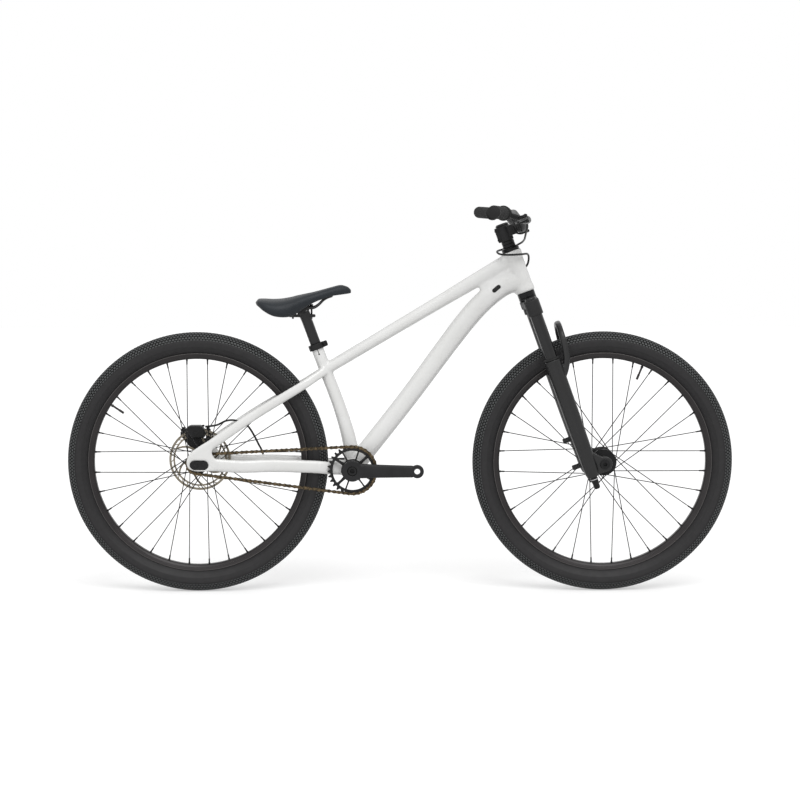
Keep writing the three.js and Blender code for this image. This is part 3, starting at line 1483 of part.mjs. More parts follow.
function rearAxlePiece() {
  const end = dropoutInner + dropoutThick + 2 * lap;
  const shaft = rod(rearAxleRadius, -end, end, 12);
  const spacer = rod(rearEndRadius, -dropoutInner - lap, -driverEnd - fit, 12);
  return fuse([shaft, spacer, slider(1), slider(-1)]);
}

// The block that holds an axle end and slides in its dropout to tighten the chain
function slider(side) {
  const shape = slotShape(insertLength, insertHeight, insertAhead, 0);
  const [low, high] = [dropoutInner + fit, dropoutInner + dropoutThick + lap];
  return side > 0 ? plate(shape, low, high) : plate(shape, -high, -low);
}

// Assembly
function group(place, tilt, pieces) {
  const holder = new THREE.Group();
  holder.position.copy(place);
  holder.rotation.y = -tilt;
  holder.add(...pieces);
  return holder;
}

const origin = new THREE.Vector3();
const seatJoint = group(seatTop, seatTilt, [
  piece('seat_collar', seatCollar(), blackAlloy),
  piece('seat_collar_bolt', collarBolt(), blackSteel),
  piece('seatpost', seatpost(), blackAlloy),
]);
const saddleJoint = group(clampCentre, 0, [
  piece('saddle_clamp_lower', clampLower(), blackAlloy),
  piece('saddle_clamp_upper', clampUpper(), blackAlloy),
  piece('saddle_rails', saddleRails(), blackSteel),
  piece('saddle_shell', saddleShell(), blackPaint),
  piece('saddle_cover', saddleCover(), darkSlate),
]);
const steeringGroup = group(headLow, headTilt, [
  piece('headset_lower_cup', headsetCup(false), blackAlloy),
  piece('headset_upper_cup', headsetCup(true), blackAlloy),
  piece('headset_lower_bearing', headsetBearing(lap - fit - cupHeight), brightSteel),
  piece('headset_upper_bearing', headsetBearing(headTubeLength + fit), brightSteel),
  piece('crown_race', crownRace(), blackSteel),
  piece('headset_top_cover', topCover(), blackAlloy),
  piece('headset_spacer_lower', spacer(0), blackAlloy),
  piece('headset_spacer_upper', spacer(1), blackAlloy),
  piece('fork_crown_steerer', crown(), blackAlloy),
  piece('stanchion_left', stanchion(1), blackAlloy),
  piece('stanchion_right', stanchion(-1), blackAlloy),
  piece('fork_lowers', forkLowers(), blackPaint),
  piece('fork_wiper_left', wiper(1), blackRubber),
  piece('fork_wiper_right', wiper(-1), blackRubber),
  piece('stem', stem(), blackAlloy),
  piece('stem_faceplate', faceplate(), blackAlloy),
  piece('steerer_top_cap', steererCap(), blackAlloy),
  piece('handlebar', handlebar(), blackAlloy),
  piece('grip_left', grip(1), blackRubber),
  piece('grip_right', grip(-1), blackRubber),
  piece('brake_lever_body', leverBody(), greyAlloy),
  piece('brake_lever_blade', leverBlade(), blackAlloy),
  piece('brake_lever_pin', leverPin(), blackSteel),
  piece('front_brake_hose', frontHose(), blackRubber),
]);
const frontWheelGroup = group(frontAxle, 0, [
  piece('front_tyre', tyre(), blackRubber),
  piece('front_inner_tube', innerTube(), blackRubber),
  piece('front_rim', rim(), blackAlloy),
  piece('front_valve', valve(frontValveTurn), blackAlloy),
  piece('front_hub', frontHub(), blackAlloy),
  piece('front_axle', frontAxlePiece(), greyAlloy),
]);
const rearWheelGroup = group(rearAxle, 0, [
  piece('rear_tyre', tyre(), blackRubber),
  piece('rear_inner_tube', innerTube(), blackRubber),
  piece('rear_rim', rim(), blackAlloy),
  piece('rear_valve', valve(rearValveTurn), blackAlloy),
  piece('rear_hub', rearHub(), blackAlloy),
  piece('brake_rotor', rotor(), brightSteel),
  piece('drive_cog', driveCog(), blackSteel),
  piece('rear_axle', rearAxlePiece(), blackAlloy),
]);
const crankGroup = group(bottomBracket, 0, [
  piece('bottom_bracket_cup_left', bottomBracketCup(), blackAlloy),
  piece('bottom_bracket_cup_right', bottomBracketCup().rotateX(Math.PI), blackAlloy),
  piece('crank_spindle', crankSpindle(), greyAlloy),
  piece('crank_arm_right', crankArm(true), blackAlloy),
  piece('crank_arm_left', geometryOf(crankArm(false)).rotateZ(Math.PI), blackAlloy),
  piece('chainring', chainring(), blackAlloy),
]);
const frameGroup = group(origin, 0, [
  piece('frame', frame(), whitePaint),
  piece('cable_port_left', cablePort(1), blackRubber),
  piece('cable_port_right', cablePort(-1), blackRubber),
  piece('brake_caliper', caliper(), blackAlloy),
  piece('caliper_bracket', caliperBracket(), blackAlloy),
  piece('brake_pads', brakePads(), blackSteel),
  piece('rear_brake_hose', rearHose(), blackRubber),
  piece('chain', chain(), bronzeSteel),
]);

const bike = new THREE.Group();
bike.add(frameGroup, seatJoint, saddleJoint, steeringGroup);
bike.add(frontWheelGroup, rearWheelGroup, crankGroup);

export default bike;
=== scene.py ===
import math

import bpy
import numpy as np
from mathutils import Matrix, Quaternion, Vector


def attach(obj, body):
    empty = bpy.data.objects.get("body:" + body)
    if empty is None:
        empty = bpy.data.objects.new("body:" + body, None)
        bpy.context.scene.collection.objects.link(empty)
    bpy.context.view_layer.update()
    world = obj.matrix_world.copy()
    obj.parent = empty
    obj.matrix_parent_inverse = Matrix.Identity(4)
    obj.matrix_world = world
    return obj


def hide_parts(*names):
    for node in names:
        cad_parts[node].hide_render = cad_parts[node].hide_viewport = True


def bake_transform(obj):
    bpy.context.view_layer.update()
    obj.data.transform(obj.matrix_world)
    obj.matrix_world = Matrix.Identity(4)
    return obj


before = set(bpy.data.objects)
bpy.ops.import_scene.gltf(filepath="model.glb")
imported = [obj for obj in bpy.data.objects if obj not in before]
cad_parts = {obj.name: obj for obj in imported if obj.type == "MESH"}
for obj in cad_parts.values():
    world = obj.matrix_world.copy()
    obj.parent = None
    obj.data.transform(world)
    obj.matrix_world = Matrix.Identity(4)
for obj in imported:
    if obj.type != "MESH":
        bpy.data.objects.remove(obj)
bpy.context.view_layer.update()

# Studio. The bike stands on a pale floor under a broad lamp overhead, a weak one on the drive side and
# an even room light. The camera stands level with the bar on the drive side, far back with a long lens.
MM = 0.001


class Flow:
    """A number, colour or place on its way through a material's nodes. Sums add their Math nodes."""

    def __init__(self, tree, socket=None):
        self.tree = tree
        self.socket = socket

    def node(self, kind, settings=(), sockets=(), output=0):
        """Adds a node of that kind, gives it its settings, then its sockets, and returns one output."""
        node = self.tree.nodes.new("ShaderNode" + kind)
        for name, value in dict(settings).items():
            setattr(node, name, value)
        for name, value in dict(sockets).items():
            if isinstance(value, Flow):
                self.tree.links.new(value.socket, node.inputs[name])
            else:
                node.inputs[name].default_value = value
        return Flow(self.tree, node.outputs[output]) if node.outputs else None

    def math(self, operation, first, second=0.0):
        return self.node("Math", {"operation": operation}, {0: first, 1: second})

    def __add__(self, other):
        return self.math("ADD", self, other)

    def __sub__(self, other):
        return self.math("SUBTRACT", self, other)

    def __rsub__(self, other):
        return self.math("SUBTRACT", other, self)

    def __mul__(self, other):
        return self.math("MULTIPLY", self, other)

    def __abs__(self):
        return self.math("ABSOLUTE", self)

    __radd__ = __add__
    __rmul__ = __mul__

    def power(self, exponent):
        return self.math("POWER", self, exponent)

    def most(self, other):
        return self.math("MAXIMUM", self, other)

    def least(self, other):
        return self.math("MINIMUM", self, other)

    def between(self, low, high):
        """0 below low, 1 above high, and a smooth step from one to the other."""
        return self.node("MapRange", {"interpolation_type": "SMOOTHSTEP"}, {0: self, 1: low, 2: high})

    def colours(self, low, high):
        """The colour low where the flow is 0 and the colour high where it is 1. Either may be a flow."""
        low, high = (shade if isinstance(shade, Flow) else (*shade, 1) for shade in (low, high))
        return self.node("Mix", {"data_type": "RGBA"}, {0: self, 6: low, 7: high}, 2)

    def mottle(self, size, detail=3.0, stretch=None):
        """Soft noise with blotches about as wide as size, stretched along the axes if asked."""
        where = self if stretch is None else self.node("Mapping", (), {"Vector": self, "Scale": stretch})
        return self.node("TexNoise", (), {"Vector": where, "Scale": 1 / size, "Detail": detail})

    def parts(self):
        """The X, Y and Z of a place."""
        return (self.node("SeparateXYZ", (), {0: self}, k) for k in range(3))


def new_tree(owner):
    """An empty tree of nodes for a material or for the room."""
    owner.use_nodes = True
    owner.node_tree.nodes.clear()
    return Flow(owner.node_tree)


def seen_directly(tree):
    """1 for what the camera, a mirror or a clear piece sees directly, and 0 for the light it gives."""
    path = tree.node("LightPath")
    outputs = path.socket.node.outputs
    glossy = Flow(tree.tree, outputs["Is Glossy Ray"])
    clear = Flow(tree.tree, outputs["Is Transmission Ray"])
    return path.most(glossy).most(clear)


ROOM_LIGHT = 0.62
BACKDROP = 1.0
room = bpy.data.worlds.new("room")
bpy.context.scene.world = room
tree = new_tree(room)
level = seen_directly(tree) * (BACKDROP - ROOM_LIGHT) + ROOM_LIGHT
sky = tree.node("Background", (), {"Color": (1, 1, 1, 1), "Strength": level})
tree.node("OutputWorld", (), {"Surface": sky})

LAMPS = [("overhead", (0.2, -0.75, 1.0), 1.35, 40), ("front", (-0.5, -1.0, 0.35), 0.35, 60)]
for lamp_name, way, strength, spread in LAMPS:
    lamp = bpy.data.lights.new(lamp_name, "SUN")
    lamp.energy = strength
    lamp.angle = math.radians(spread)
    lamp_object = bpy.data.objects.new(lamp_name, lamp)
    lamp_object.rotation_euler = Vector(way).to_track_quat("Z", "Y").to_euler()
    bpy.context.scene.collection.objects.link(lamp_object)

PHOTO_PIXELS = 800
FOCAL_PIXELS = 1997.7
SENSOR_WIDTH = 36
FAR_CLIP = 50
CAMERA_PLACE = Vector((-31.5, -5112.4, 968.1)) * MM
CAMERA_AIM = Vector((-0.5, 0, 494.0)) * MM
CAMERA_ROLL = -0.0015
camera_data = bpy.data.cameras.new("camera")
camera_data.sensor_width = SENSOR_WIDTH
camera_data.lens = FOCAL_PIXELS / PHOTO_PIXELS * SENSOR_WIDTH
camera_data.clip_end = FAR_CLIP
camera = bpy.data.objects.new("camera", camera_data)
camera.location = CAMERA_PLACE
sight = CAMERA_AIM - CAMERA_PLACE
roll = Quaternion((0, 0, 1), CAMERA_ROLL)
camera.rotation_euler = (sight.to_track_quat("-Z", "Y") @ roll).to_euler()
bpy.context.scene.collection.objects.link(camera)
bpy.context.scene.camera = camera
bpy.context.scene.view_settings.view_transform = "Standard"

FLOOR_SIZE = 24
FLOOR_GLOW = 0.42
FLOOR_SHADE = 0.72
edge = FLOOR_SIZE / 2
floor_corners = [(-edge, -edge, 0), (edge, -edge, 0), (edge, edge, 0), (-edge, edge, 0)]
floor_mesh = bpy.data.meshes.new("floor")
floor_mesh.from_pydata(floor_corners, [], [(0, 1, 2, 3)])
floor = bpy.data.objects.new("floor", floor_mesh)
bpy.context.scene.collection.objects.link(floor)
paper = bpy.data.materials.new("pale_floor")
tree = new_tree(paper)
cast_light = tree.node("BsdfDiffuse", (), {"Color": (FLOOR_SHADE, FLOOR_SHADE, FLOOR_SHADE, 1)})
glow = tree.node("Emission", (), {"Color": (1, 1, 1, 1), "Strength": seen_directly(tree) * FLOOR_GLOW})
both = tree.node("AddShader", (), {0: cast_light, 1: glow})
tree.node("OutputMaterial", (), {"Surface": both})
floor_mesh.materials.append(paper)

# Frame. Drawn and shaped aluminium tubes are welded, ground smooth at every joint and painted gloss
# white. Thick dropouts at the tail carry the axle's sliding blocks, and slots take the cables in.
WHEEL_RADIUS = 335
HALF_WHEELBASE = 520.5
REAR_AXLE = np.array([-HALF_WHEELBASE, 0, WHEEL_RADIUS])
FRONT_AXLE = np.array([HALF_WHEELBASE, 0, WHEEL_RADIUS])
BOTTOM_BRACKET = np.array([-122.438, 0, 318.6])
SEAT_TOP = BOTTOM_BRACKET + [-89.3, 0, 307.4]
SEAT_LEAN = math.radians(20)
POST_UP = np.array([-math.sin(SEAT_LEAN), 0, math.cos(SEAT_LEAN)])
POST_AHEAD = np.array([POST_UP[2], 0, -POST_UP[0]])
COLLAR_RISE = 14
COLLAR_TOP = SEAT_TOP + COLLAR_RISE * POST_UP
HEAD_LEAN = math.radians(19.8)
STEER_UP = np.array([-math.sin(HEAD_LEAN), 0, math.cos(HEAD_LEAN)])
STEER_AHEAD = np.array([STEER_UP[2], 0, -STEER_UP[0]])
FORK_DROP = 478
FORK_REACH = 40
HEAD_LOW = FRONT_AXLE + FORK_DROP * STEER_UP - FORK_REACH * STEER_AHEAD
SIDEWAYS = np.array([0.0, 1.0, 0.0])
SIDES = (("left", 1), ("right", -1))
SHARP = 38
RELAX_SHARE = 0.5


def eased(rows, count):
    """Rows of numbers at even steps along smooth curves: each stretch is the cubic whose slope at a
    row is half the change between that row's two neighbours."""
    rows = np.asarray(rows, float)
    step = np.linspace(0, len(rows) - 1, count)
    first = np.minimum(step.astype(int), len(rows) - 2)
    part = (step - first)[:, None]
    ends = np.vstack([2 * rows[0] - rows[1], rows, 2 * rows[-1] - rows[-2]])
    a, b, c, d = (ends[first + k] for k in range(4))
    return b + part / 2 * (c - a + part * (2 * a - 5 * b + 4 * c - d + part * (3 * (b - c) + d - a)))


def outward(points, faces):
    """The same shape with its faces turned outwards: the sum of its faces' cones from the origin,
    which is its volume, has to be positive."""
    volume = 0.0
    for block in faces:
        corner = points[block]
        for k in range(1, block.shape[1] - 1):
            volume += np.einsum("ij,ij->", corner[:, 0], np.cross(corner[:, k], corner[:, k + 1]))
    return points, faces if volume > 0 else [block[:, ::-1] for block in faces]


def skin(rings, joined=False):
    """A surface over rings of equally many points, closed round each ring, and along them if joined,
    else with a flat face on each end."""
    count, sides, _ = rings.shape
    here = np.arange(count if joined else count - 1)[:, None] * sides
    there = (here + sides) % (count * sides)
    low = np.arange(sides)
    high = (low + 1) % sides
    quads = np.stack([here + low, here + high, there + high, there + low], -1).reshape(-1, 4)
    faces = [quads]
    if not joined:
        faces += [low[None, ::-1], (low + (count - 1) * sides)[None]]
    return outward(rings.reshape(-1, 3), faces)


def tube(centres, wide, tall, sides=32, squareness=2.0, across=SIDEWAYS):
    """A tube along a path. Each section is a superellipse, in which the two coordinates, as shares
    of the half sizes wide and tall and raised to the power squareness, add up to 1."""
    centres = np.asarray(centres, float)
    ahead = np.gradient(centres, axis=0)
    ahead /= np.linalg.norm(ahead, axis=1)[:, None]
    up = np.cross(np.broadcast_to(across, ahead.shape), ahead)
    up /= np.linalg.norm(up, axis=1)[:, None]
    out = np.cross(ahead, up)
    angle = (np.arange(sides) + 0.5) * 2 * math.pi / sides
    flat = np.sign(np.cos(angle)) * np.abs(np.cos(angle)) ** (2 / squareness)
    rise = np.sign(np.sin(angle)) * np.abs(np.sin(angle)) ** (2 / squareness)
    wide, tall = (np.broadcast_to(size, len(centres))[:, None, None] for size in (wide, tall))
    ring = flat[:, None] * out[:, None] * wide + rise[:, None] * up[:, None] * tall
    return skin(centres[:, None] + ring)


def turned(profile, origin=(0, 0, 0), along=SIDEWAYS, sides=64, joined=False):
    """A profile of (radius, distance) turned about the axis that leaves origin along that way."""
    profile = np.asarray(profile, float)
    along = np.asarray(along, float)
    right = np.cross(along, [0.6, 0.0, 0.8] if abs(along[1]) > 0.5 else SIDEWAYS)
    right /= np.linalg.norm(right)
    front = np.cross(along, right)
    angle = np.arange(sides)[:, None] * 2 * math.pi / sides
    spin = np.cos(angle) * right + np.sin(angle) * front
    rings = profile[:, 0, None, None] * spin + profile[:, 1, None, None] * along
    return skin(rings + np.asarray(origin, float), joined)


def levels(rows, joined=False):
    """A skin over outlines in X and Z of equally many points, each at its own height in Y."""
    return skin(np.stack([np.column_stack([outline[:, 0], np.full(len(outline), y), outline[:, 1]])
                          for outline, y in rows]), joined)


def plate(outline, hole, low, high):
    """A flat plate about Y with a hole: two outlines in X and Z of equally many points."""
    return levels([(hole, low), (outline, low), (outline, high), (hole, high)], joined=True)


def straight(radius, low, high):
    """The profile of a plain round bar or bore between two heights."""
    return [(0, low), (radius, low), (radius, high), (0, high)]


def drum(radius, half, inset, edge):
    """The profile of a round bar, half as long each way, with its rims cut by inset and by edge."""
    return [(0, -half), (radius - inset, -half), (radius, edge - half), (radius, half - edge),
            (radius - inset, half), (0, half)]


def resampled(outline, count):
    """A closed outline cut into equally long steps."""
    loop = np.vstack([outline, outline[:1]])
    length = np.concatenate([[0], np.cumsum(np.linalg.norm(np.diff(loop, axis=0), axis=1))])
    place = np.linspace(0, length[-1], count, endpoint=False)
    return np.column_stack([np.interp(place, length, loop[:, k]) for k in range(2)])


def placed(shape, origin, ahead=STEER_AHEAD, side=SIDEWAYS, up=STEER_UP):
    """A shape built about its own axes, set at origin with its X, Y and Z along three ways."""
    points, faces = shape
    return points @ np.array([ahead, side, up]) + origin, faces


def at_place(shapes, place):
    """Shapes moved to a place."""
    return [(points + place, faces) for points, faces in shapes]


def mesh_of(name, shapes):
    """One mesh from shapes in millimetres, each with its points and its blocks of faces."""
    starts = np.cumsum([0] + [len(points) for points, _ in shapes])
    blocks = [block + start for (_, faces), start in zip(shapes, starts) for block in faces]
    corners = np.concatenate([block.ravel() for block in blocks])
    sizes = np.concatenate([np.full(len(block), block.shape[1]) for block in blocks])
    mesh = bpy.data.meshes.new(name)
    mesh.vertices.add(int(starts[-1]))
    mesh.vertices.foreach_set("co", (np.concatenate([points for points, _ in shapes]) * MM).ravel())
    mesh.loops.add(len(corners))
    mesh.loops.foreach_set("vertex_index", corners.astype(np.int32))
    mesh.polygons.add(len(sizes))
    mesh.polygons.foreach_set("loop_start", np.concatenate([[0], np.cumsum(sizes)[:-1]]).astype(np.int32))
    mesh.update(calc_edges=True)
    return mesh


def shown(name, mesh, material, body, nodes=(), sharp=SHARP):
    """Puts a mesh in the scene with its material, riding on its body in place of its CAD nodes. A
    piece given no body rides on none."""
    mesh.shade_smooth()
    mesh.set_sharp_from_angle(angle=math.radians(sharp))
    mesh.materials.clear()
    mesh.materials.append(material)
    thing = bpy.data.objects.new(name, mesh)
    bpy.context.scene.collection.objects.link(thing)
    if body:
        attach(thing, body)
    if nodes:
        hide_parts(*nodes)
    return thing


def run_together(name, shapes, grain, rounds, holes=()):
    """Joins shapes into one skin on a grid of that grain and relaxes it so many rounds, which turns
    each corner between two shapes into a fillet. Then the holes' shapes are cut out of it."""
    rough = bpy.data.objects.new(name, mesh_of(name, shapes))
    bpy.context.scene.collection.objects.link(rough)
    remesh = rough.modifiers.new("skin", "REMESH")
    remesh.mode = "VOXEL"
    remesh.voxel_size = grain * MM
    relax = rough.modifiers.new("relax", "SMOOTH")
    relax.factor = RELAX_SHARE
    relax.iterations = rounds
    cutters = [bpy.data.objects.new(name, mesh_of(name, [hole])) for hole in holes]
    for cutter in cutters:
        bpy.context.scene.collection.objects.link(cutter)
        cut = rough.modifiers.new("cut", "BOOLEAN")
        cut.object = cutter
        cut.solver = "MANIFOLD"
    view = bpy.context.evaluated_depsgraph_get()
    mesh = bpy.data.meshes.new_from_object(rough.evaluated_get(view))
    mesh.name = name
    for thing in [rough, *cutters]:
        bpy.data.objects.remove(thing)
    return mesh


def finish(name, colour, roughness, relief=None, depth=0.0002, **sockets):
    """A surface finish. Colour, roughness and relief, which raises it, may be functions of the place."""
    material = bpy.data.materials.new(name)
    material.use_nodes = True
    shader = material.node_tree.nodes["Principled BSDF"]
    tree = Flow(material.node_tree)
    where = tree.node("TexCoord", output=3)
    given = {"Base Color": colour, "Roughness": roughness}
    given.update({key.replace("_", " "): value for key, value in sockets.items()})
    for key, value in given.items():
        value = value(where) if callable(value) else value
        if isinstance(value, Flow):
            material.node_tree.links.new(value.socket, shader.inputs[key])
        else:
            shader.inputs[key].default_value = (*value, 1) if isinstance(value, tuple) else value
    if relief:
        bump = tree.node("Bump", (), {"Height": relief(where), "Distance": depth, "Strength": 1.0})
        material.node_tree.links.new(bump.socket, shader.inputs["Normal"])
    return material


def uneven(size, spread, base, detail=3.0):
    """A roughness that drifts up from base by up to spread, in patches about as wide as size."""
    return lambda where: where.mottle(size, detail) * spread + base


def grain(size, detail=3.0, stretch=None):
    """A relief of soft noise about as coarse as size, stretched along the axes if asked."""
    return lambda where: where.mottle(size, detail, stretch)


def bowed(start, end, along, bow):
    """Places at shares along a straight span, moved off it in the bike's plane by shares of it."""
    span = end - start
    return start + np.outer(along, span) + np.outer(bow, [span[2], 0, -span[0]])


def frame_tube(table, start, end, wide, tall, squareness=2.5, side=0, reach=0.0):
    """A frame tube. The table's rows are its place along, its bow, its half sizes as shares of wide
    and tall, and, for a stay, how far out it runs as a share of reach."""
    rows = eased(table, 48)
    centres = bowed(start, end, rows[:, 0], rows[:, 1])
    centres[:, 1] = side * rows[:, 4] * reach
    return tube(centres, rows[:, 2] * wide, rows[:, 3] * tall, 40, squareness)


STAY_REACH = 67.5
DROPOUT_INNER = 67.8
DROPOUT_THICK = 8
HEAD_PROFILE = [(0, 0), (25.6, 0), (25.6, 9), (23.9, 19), (23.6, 55), (23.9, 92), (25.6, 102),
                (25.6, 111), (0, 111)]
SHELL_RADIUS, SHELL_HALF = 23, 36.5
DOWN_WIDE, DOWN_TALL = 23, 24
DOWN_TABLE = [(0, 0, 1, 1, 0), (0.344, -0.022, 1, 1, 0), (0.649, -0.05, 1, 1.06, 0),
              (0.81, -0.057, 1, 1.08, 0), (0.93, -0.039, 1, 1.07, 0), (1, 0, 1, 1.06, 0)]
TOP_WIDE, TOP_TALL = 17, 14.5
TOP_TABLE = [(0, 0, 0.92, 1, 0), (0.3, 0, 1, 1.05, 0), (0.55, 0, 1, 1.1, 0), (0.8, 0, 1, 1.26, 0),
             (1, 0, 1, 1.38, 0)]
SEAT_RADIUS = 15.9
SEAT_TABLE = [(0, 0, 1, 1, 0), (0.2, -0.0132, 1, 1, 0), (0.5, -0.036, 1.02, 1.02, 0),
              (0.78, -0.036, 1.15, 1.15, 0), (1, 0, 1.25, 1.25, 0)]
WEB_HALF = 17
WEB_TABLE = [(0, 0, 0.72, 0.5, 0), (0.25, 0, 0.85, 0.7, 0), (1, 0, 1, 1.1, 0)]
CHAIN_STAY_WIDE, CHAIN_STAY_TALL = 8.5, 16.7
CHAIN_STAY_TABLE = [(0, 0, 1, 1, 1), (0.2, 0.005, 1, 1, 0.9), (0.42, -0.008, 1, 1, 0.79),
                    (0.72, -0.0105, 1, 1, 0.65), (0.84, -0.002, 1, 1, 0.5), (1, 0, 1, 1, 0.3)]
SEAT_STAY_WIDE, SEAT_STAY_TALL = 7.5, 11.2
SEAT_STAY_TABLE = [(0, 0, 1, 1.2, 1), (0.22, -0.008, 1, 1.17, 0.955), (0.45, -0.0115, 1, 1.12, 0.84),
                   (0.8, 0, 1, 1.05, 0.62), (0.9, 0, 1, 1.02, 0.46), (1, 0, 1, 1, 0.2)]
STAY_SQUARENESS = 2.8
WEB_TAIL = np.array([203.0, 0, 781.0])
CHAIN_STAY_TAIL = REAR_AXLE + [46, 0, 0.3]
SEAT_STAY_TAIL = REAR_AXLE + [20, 0, 38]
SEAT_JOINT = SEAT_TOP - 57 * POST_UP
DOWN_JOINT, WEB_JOINT, TOP_JOINT = (HEAD_LOW + height * STEER_UP for height in (32, 62, 92))
frame_shapes = [
    turned(HEAD_PROFILE, HEAD_LOW, STEER_UP),
    frame_tube(DOWN_TABLE, BOTTOM_BRACKET, DOWN_JOINT, DOWN_WIDE, DOWN_TALL),
    frame_tube(TOP_TABLE, SEAT_JOINT, TOP_JOINT, TOP_WIDE, TOP_TALL),
    frame_tube(SEAT_TABLE, COLLAR_TOP, BOTTOM_BRACKET, SEAT_RADIUS, SEAT_RADIUS, 2),
    frame_tube(WEB_TABLE, WEB_TAIL, WEB_JOINT, WEB_HALF, WEB_HALF),
    turned(drum(SHELL_RADIUS, SHELL_HALF, 0.6, 1), BOTTOM_BRACKET),
]
DROPOUT_UNIT = 24.6
DROPOUT_TABLE = DROPOUT_UNIT * np.array([
    (-0.3, -0.6), (0.4, -0.68), (1.9, -0.66), (2.2, 0.1), (1.9, 0.9), (1.72, 1.15), (1.76, 2.7),
    (1.3, 2.5), (0.4, 2.0), (-0.28, 1.54), (-0.75, 1.1), (-1, 0.4), (-0.93, -0.1), (-0.72, -0.43),
])
DROPOUT_POINTS = 96
DROPOUT_UP = 8
SLOT_RADIUS = 11.3
SLOT_MIDDLE = 9
SLOT_FRONT, SLOT_REAR = 20.75, -2.75
turn = np.linspace(0, 2 * math.pi, DROPOUT_POINTS, endpoint=False)
slot_end = np.where(np.cos(turn) > 0, SLOT_FRONT, SLOT_REAR)
axle_slot = np.column_stack([slot_end + SLOT_RADIUS * np.cos(turn), SLOT_RADIUS * np.sin(turn)])
dropout_edge = resampled(DROPOUT_TABLE, DROPOUT_POINTS)
heading = np.unwrap(np.arctan2(dropout_edge[:, 1] - DROPOUT_UP, dropout_edge[:, 0] - SLOT_MIDDLE))
dropout_edge = np.roll(dropout_edge, -int(np.argmin(np.abs(heading))), axis=0)
for side in (1, -1):
    near, far = sorted([side * DROPOUT_INNER, side * (DROPOUT_INNER + DROPOUT_THICK)])
    frame_shapes += [
        frame_tube(CHAIN_STAY_TABLE, CHAIN_STAY_TAIL, BOTTOM_BRACKET, CHAIN_STAY_WIDE, CHAIN_STAY_TALL,
                   STAY_SQUARENESS, side, STAY_REACH),
        frame_tube(SEAT_STAY_TABLE, SEAT_STAY_TAIL, SEAT_JOINT - POST_UP, SEAT_STAY_WIDE, SEAT_STAY_TALL,
                   STAY_SQUARENESS, side, STAY_REACH),
        *at_place([plate(dropout_edge, axle_slot, near, far)], REAR_AXLE)]


# The cut below the collar, in metres: the slit's half width and foot, and the hole's place and radius
# squared. The two numbers of a pair are where its soft edge begins and ends.
SLIT_HALF = (0.0006, 0.0011)
SLIT_FOOT = (-0.027, -0.026)
HOLE_DOWN = 0.0275
HOLE_SQUARED = (4e-6, 7e-6)


def paint_colour(where):
    """White, a shade greyer in faint cloudy patches, and black on the drive side in the cut below the
    seat collar: a slit down the post's line and a round hole at its foot."""
    cloud = where.mottle(0.09, 2.0).between(0.3, 0.7)
    x, y, z = where.parts()
    across = x * POST_AHEAD[0] + z * POST_AHEAD[2] - COLLAR_TOP @ POST_AHEAD * MM
    up = z * POST_UP[2] + x * POST_UP[0] - COLLAR_TOP @ POST_UP * MM
    slit = abs(across).between(*SLIT_HALF) + (1.0 - up.between(*SLIT_FOOT))
    hole = (across.power(2.0) + (up + HOLE_DOWN).power(2.0)).between(*HOLE_SQUARED)
    cut = 1.0 - slit.least(1.0).least(hole)
    drive_side = 1.0 - y.between(-0.001, 0.001)
    white = cloud.colours((0.80, 0.80, 0.785), (0.84, 0.84, 0.83))
    return (cut * drive_side).colours(white, (0.01, 0.01, 0.01))


POST_BORE, HEAD_BORE, SHELL_BORE = 13.9, 17.5, 17.2
FRAME_GRAIN, FRAME_ROUNDS = 2.3, 22
SHADING_OFFSET = 0.12
white_paint = finish("gloss_white_paint", paint_colour, uneven(0.03, 0.12, 0.2), grain(0.012, 2.0), 0.00002,
                     Coat_Weight=0.35, Coat_Roughness=0.08)
frame_bores = [turned(straight(POST_BORE, -112, 60), SEAT_TOP, POST_UP, 48),
               turned(straight(HEAD_BORE, -30, 150), HEAD_LOW, STEER_UP, 48),
               turned(straight(SHELL_BORE, -60, 60), BOTTOM_BRACKET, sides=48)]
frame_skin = run_together("frame_tubes", frame_shapes, FRAME_GRAIN, FRAME_ROUNDS, frame_bores)
painted = shown("painted_frame", frame_skin, white_paint, "frame", ["frame"], sharp=70)
painted.shadow_terminator_shading_offset = SHADING_OFFSET

# Tyres. Black rubber moulded over a fabric casing: smooth bulging sidewalls with thin ribs, and close
# rows of small square knobs round the tread. Their tops are painted lighter grey for wear and a painted
# highlight, and the casing between them near black as painted shade.
SECTION_CENTRE = 308
KNOB_FOOT = 23.4
KNOB_TOP = 26.85
KNOB_COUNT = 240
TYRE_SIDES = 192
TYRE_SIDE = [(282.2, 12.9), (284.5, 15.2), (288, 18.4), (292.5, 21.6), (297.5, 24.1), (298.2, 24.7),
             (299.2, 25), (300.2, 25.1), (306, 26.2), (311, 26.2), (314, 25.5), (315, 24.9), (315.6, 23.6)]
TYRE_INSIDE = [(320, 17.5), (308, 21.5), (295, 18), (284, 10.6), (273.5, 8.8), (273.5, 12.5), (280.5, 12.6)]
KNOB_ROWS = [(0, 0.0, 2.8, 2.3), (15, 0.5, 2.7, 2.3), (30, 0.0, 2.8, 2.3), (45, 0.5, 2.7, 2.3),
             (60, 0.0, 2.7, 2.2), (73.5, 0.5, 2.8, 2.2)]
# The next four are in metres, as the materials read places.
TREAD_START = (0.3148, 0.3158)
# The depth at which the tread turns from painted shade between the knobs to the worn, painted-highlight grey
# of their tops.
KNOB_SHADE_TO_WORN_HIGHLIGHT = (0.0254, 0.0267)
RIB_RADIUS = 0.3105
RIB_HALF = (0.0002, 0.0007)


def copies(points, faces):
    """Many copies of one shape in one: points has a row of places for each, and faces are the one's."""
    count, size, _ = points.shape
    start = np.arange(count)[:, None, None] * size
    return outward(points.reshape(-1, 3), [(block + start).reshape(-1, block.shape[1]) for block in faces])


